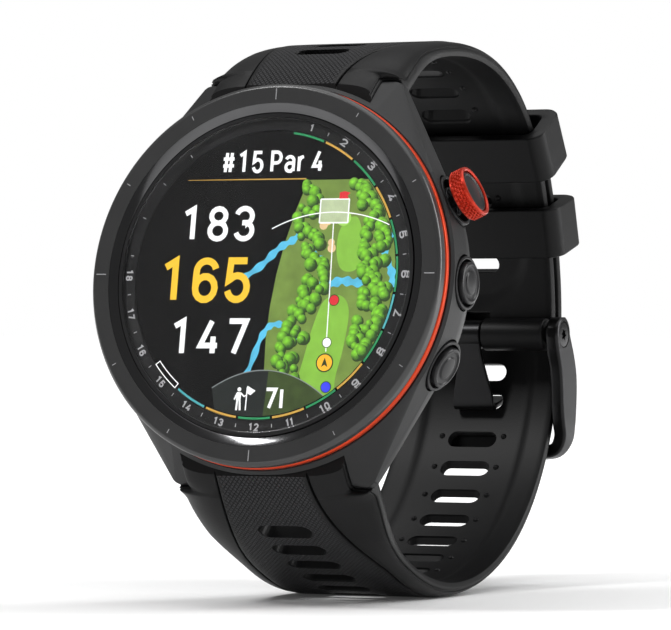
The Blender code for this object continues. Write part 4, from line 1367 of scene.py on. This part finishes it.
def make_buckle():
    place = at(y=BAR_DEPTH, z=BAR_Z)
    frame_loop = loft("buckle_loop", buckle_rings(), "dark_steel", "dark_steel",
                      ["buckle_frame"], body="buckle_frame", place=place, sharp=40.0)
    # Painted shade: the buckle's faces that look forward, into the loop, take the darker copy of
    # the coating
    frame_loop.data.materials.append(looks["tang"])
    for polygon in frame_loop.data.polygons:
        if polygon.normal.y < -0.5:
            polygon.material_index = 1
    for side, label in ((-1, "left"), (1, "right")):
        carve_turned(frame_loop, [(0, side * 11.0), (0.8, side * 11.0), (0.8, side * 12.55),
                                  (1.75, side * 12.55), (1.75, side * 14.0), (0, side * 14.0)],
                     64, "X")
        head = rounded([(0, side * 9.3), (0.45, side * 9.3), (0.45, side * 12.6),
                        (1.66, side * 12.6), (1.66, side * 13.06, 0.12), (0, side * 13.06)])
        screw = turned(f"buckle_{label}_screw", head, "screw", "dark_steel",
                       [f"buckle_screw_{label}"], 64, "X", body="buckle_frame", place=place)
        carve_loft(screw, [[(side * x, y, z) for y, z in star(0.62)] for x in (12.75, 13.5)])


def make_tang():
    path = [((-0.95, -1.1), 1.45), ((-0.4, -3.0), 1.65), ((0.4, -5.3), 2.15), ((1.2, -7.7), 2.75)]
    for n in range(4):
        angle = math.radians(-79 + 8.4 * n)
        path.append(((TANG_REACH * math.cos(angle), TANG_REACH * math.sin(angle)), 2.9))
    line = curve_through([(y, z) for (y, z), _ in path], 6)
    widths = curve_through([(half, 0.0) for _, half in path], 6)
    rings = []
    for n, point in enumerate(line):
        across = across_at(line, n)
        half = widths[n].x
        ring = []
        for x, s in rounded_band(half, -TANG_HALF_THICKNESS, TANG_HALF_THICKNESS, 0.2, 4):
            ring.append((x, point.x + across.x * s, point.y + across.y * s))
        rings.append(ring)
    place = at(y=BAR_DEPTH, z=BAR_Z)
    loft("tang_blade", rings, "tang", "dark_steel", ["buckle_tang"],
         body="buckle_tang", place=place, sharp=50.0)
    eye = rounded([(1.1, -1.65), (1.9, -1.65, 0.25), (1.9, 1.65, 0.25), (1.1, 1.65)])
    turned("tang_eye", eye, "tang", "dark_steel", [], 64, "X", body="buckle_tang",
           place=place)


# ---------------------------------------------------------------- back

def make_back():
    cover = rounded([(9.9, 13.0), (9.9, 13.8), (10.3, 13.8, 0.1), (12.4, 13.45, 0.5),
                     (15.4, 11.4, 1.2), (20.9, 10.92, 0.4), (21.2, 10.8, 0.2), (21.2, 10.15),
                     (14.8, 10.15), (12.0, 12.5)], 5)
    back = turned("back_cover", cover, "polymer", "polymer", ["rear_cover"], 192,
                  sharp=24.0)
    carve_box(back, (-3.9, 9.0, -18.1), (3.9, 12.0, -14.9))
    for n in range(4):
        angle = math.radians(45 + 90 * n)
        spot = (20.25 * math.cos(angle), 0, 20.25 * math.sin(angle))
        carve_turned(back, [(0, 9.5), (0.95, 9.5), (0.95, 12.0), (0, 12.0)], 48,
                     place=Matrix.Translation(spot))
        head = rounded([(0, 8.4), (0.4, 8.4), (0.4, 10.6), (0.8, 10.6), (0.8, 10.95, 0.1),
                        (0, 10.95)])
        screw = turned(f"back_screw_{n + 1}", head, "steel", "steel",
                       [f"rear_cover_screw_{n + 1}"], 48, place=at(x=spot[0], z=spot[2]))
        carve_loft(screw, [[(x, y, z) for x, z in star(0.3)] for y in (10.7, 11.5)])
    window = rounded([(0, 13.15), (9.6, 13.15), (9.6, 13.8, 0.12), (0, 13.8)])
    turned("sensor_glass", window, "tinted", "glass", ["sensor_window"], 192)
    lenses = bmesh.new()
    for x, z, radius in ((0, 0, 1.7), (-5, 0, 1.1), (5, 0, 1.1), (0, 5, 1.1), (0, -5, 1.1)):
        lens = rounded([(0, 13.79), (radius, 13.79), (radius, 13.83, 0.03), (0, 13.83)])
        bmesh.ops.translate(lenses, vec=(x, 0, z), verts=add_turned(lenses, lens, 48))
    finish(lenses, "sensor_lenses", "lens", "glass")
    pins = bmesh.new()
    for x in (-2.4, -0.8, 0.8, 2.4):
        add_box(pins, (x - 0.4, 11.2, -16.95), (x + 0.4, 11.34, -16.05))
    finish(pins, "charging_contacts", "gold", "gold", bevel=0.05)


# ---------------------------------------------------------------- scene

def dress_frame():
    """Gives every CAD node that still shows the detailed version of its material."""
    for part in frame["record"]["subparts"]:
        node_object = frame["nodes"][part["node"]]
        for slot in node_object.material_slots:
            slot.material = looks[part["material_slot"]]


def add_light(name, place, target, size, power):
    data = bpy.data.lights.new(name, "AREA")
    data.shape = "RECTANGLE"
    data.size, data.size_y = size
    data.energy = power
    light = put(name, data)
    light.location = place
    direction = Vector(target) - Vector(place)
    light.rotation_euler = direction.to_track_quat("-Z", "Y").to_euler()


def make_stage():
    bm = bmesh.new()
    bmesh.ops.create_grid(bm, x_segments=1, y_segments=1, size=6.0 / MM)
    mesh = to_mesh(bm, "floor")
    white = principled("floor_white", (0.95, 0.95, 0.95), 0.8, specular_ior_level=0.1,
                       emission_color=(1, 1, 1, 1))
    from_middle = add(white, "ShaderNodeVectorMath",
                      _0=add(white, "ShaderNodeTexCoord").outputs["Object"])
    from_middle.operation = "LENGTH"
    link(white, spread(white, from_middle.outputs["Value"], 0.03, 0.4, 0.03, 0.3),
         "Emission Strength")
    mesh.materials.append(white)
    floor = put("floor", mesh)
    world = bpy.data.worlds.new("studio")
    bpy.context.scene.world = world
    world.use_nodes = True
    tree = world.node_tree
    background = tree.nodes["Background"]
    path = tree.nodes.new("ShaderNodeLightPath")
    level = tree.nodes.new("ShaderNodeMapRange")
    level.inputs["To Min"].default_value = 0.22
    level.inputs["To Max"].default_value = 1.0
    tree.links.new(path.outputs["Is Camera Ray"], level.inputs["Value"])
    tree.links.new(level.outputs[0], background.inputs["Strength"])
    background.inputs["Color"].default_value = (1, 1, 1, 1)
    centre = (0, 0, 0.035)
    sky = bpy.data.lights.new("overhead", "SUN")
    sky.energy = 1.7
    sky.angle = math.radians(70)
    put("overhead", sky)
    add_light("left_key", (-0.35, -0.4, 0.66), centre, (0.085, 0.2), 2.0)
    add_light("right_rim", (0.6, 0.35, 0.3), centre, (0.3, 0.6), 3.9)


def make_camera():
    data = bpy.data.cameras.new("camera")
    data.sensor_width = 36.0
    data.lens = CAMERA_LENS
    data.clip_start = 0.01
    camera = put("camera", data)
    camera.location = DIAL.translation + Vector(CAMERA_FROM_DIAL) * MM
    camera.rotation_euler = (math.pi / 2, 0, math.radians(CAMERA_TURN_DEG))
    bpy.context.scene.camera = camera


looks = make_materials()
bpy.context.scene.view_settings.view_transform = "Standard"
make_camera()
make_stage()
dress_frame()
make_case()
make_front()
make_numbers()
make_hole_scale()
make_map()
make_markers()
make_club_panel()
for button in BUTTON_ANGLES:
    make_button(button)
make_grip()
make_springs()
make_long_strap()
make_short_strap()
make_keepers()
make_buckle()
make_tang()
make_back()
for piece_name in placements:
    normals = bpy.data.objects[piece_name].modifiers.new("normals", "WEIGHTED_NORMAL")
    normals.keep_sharp = True
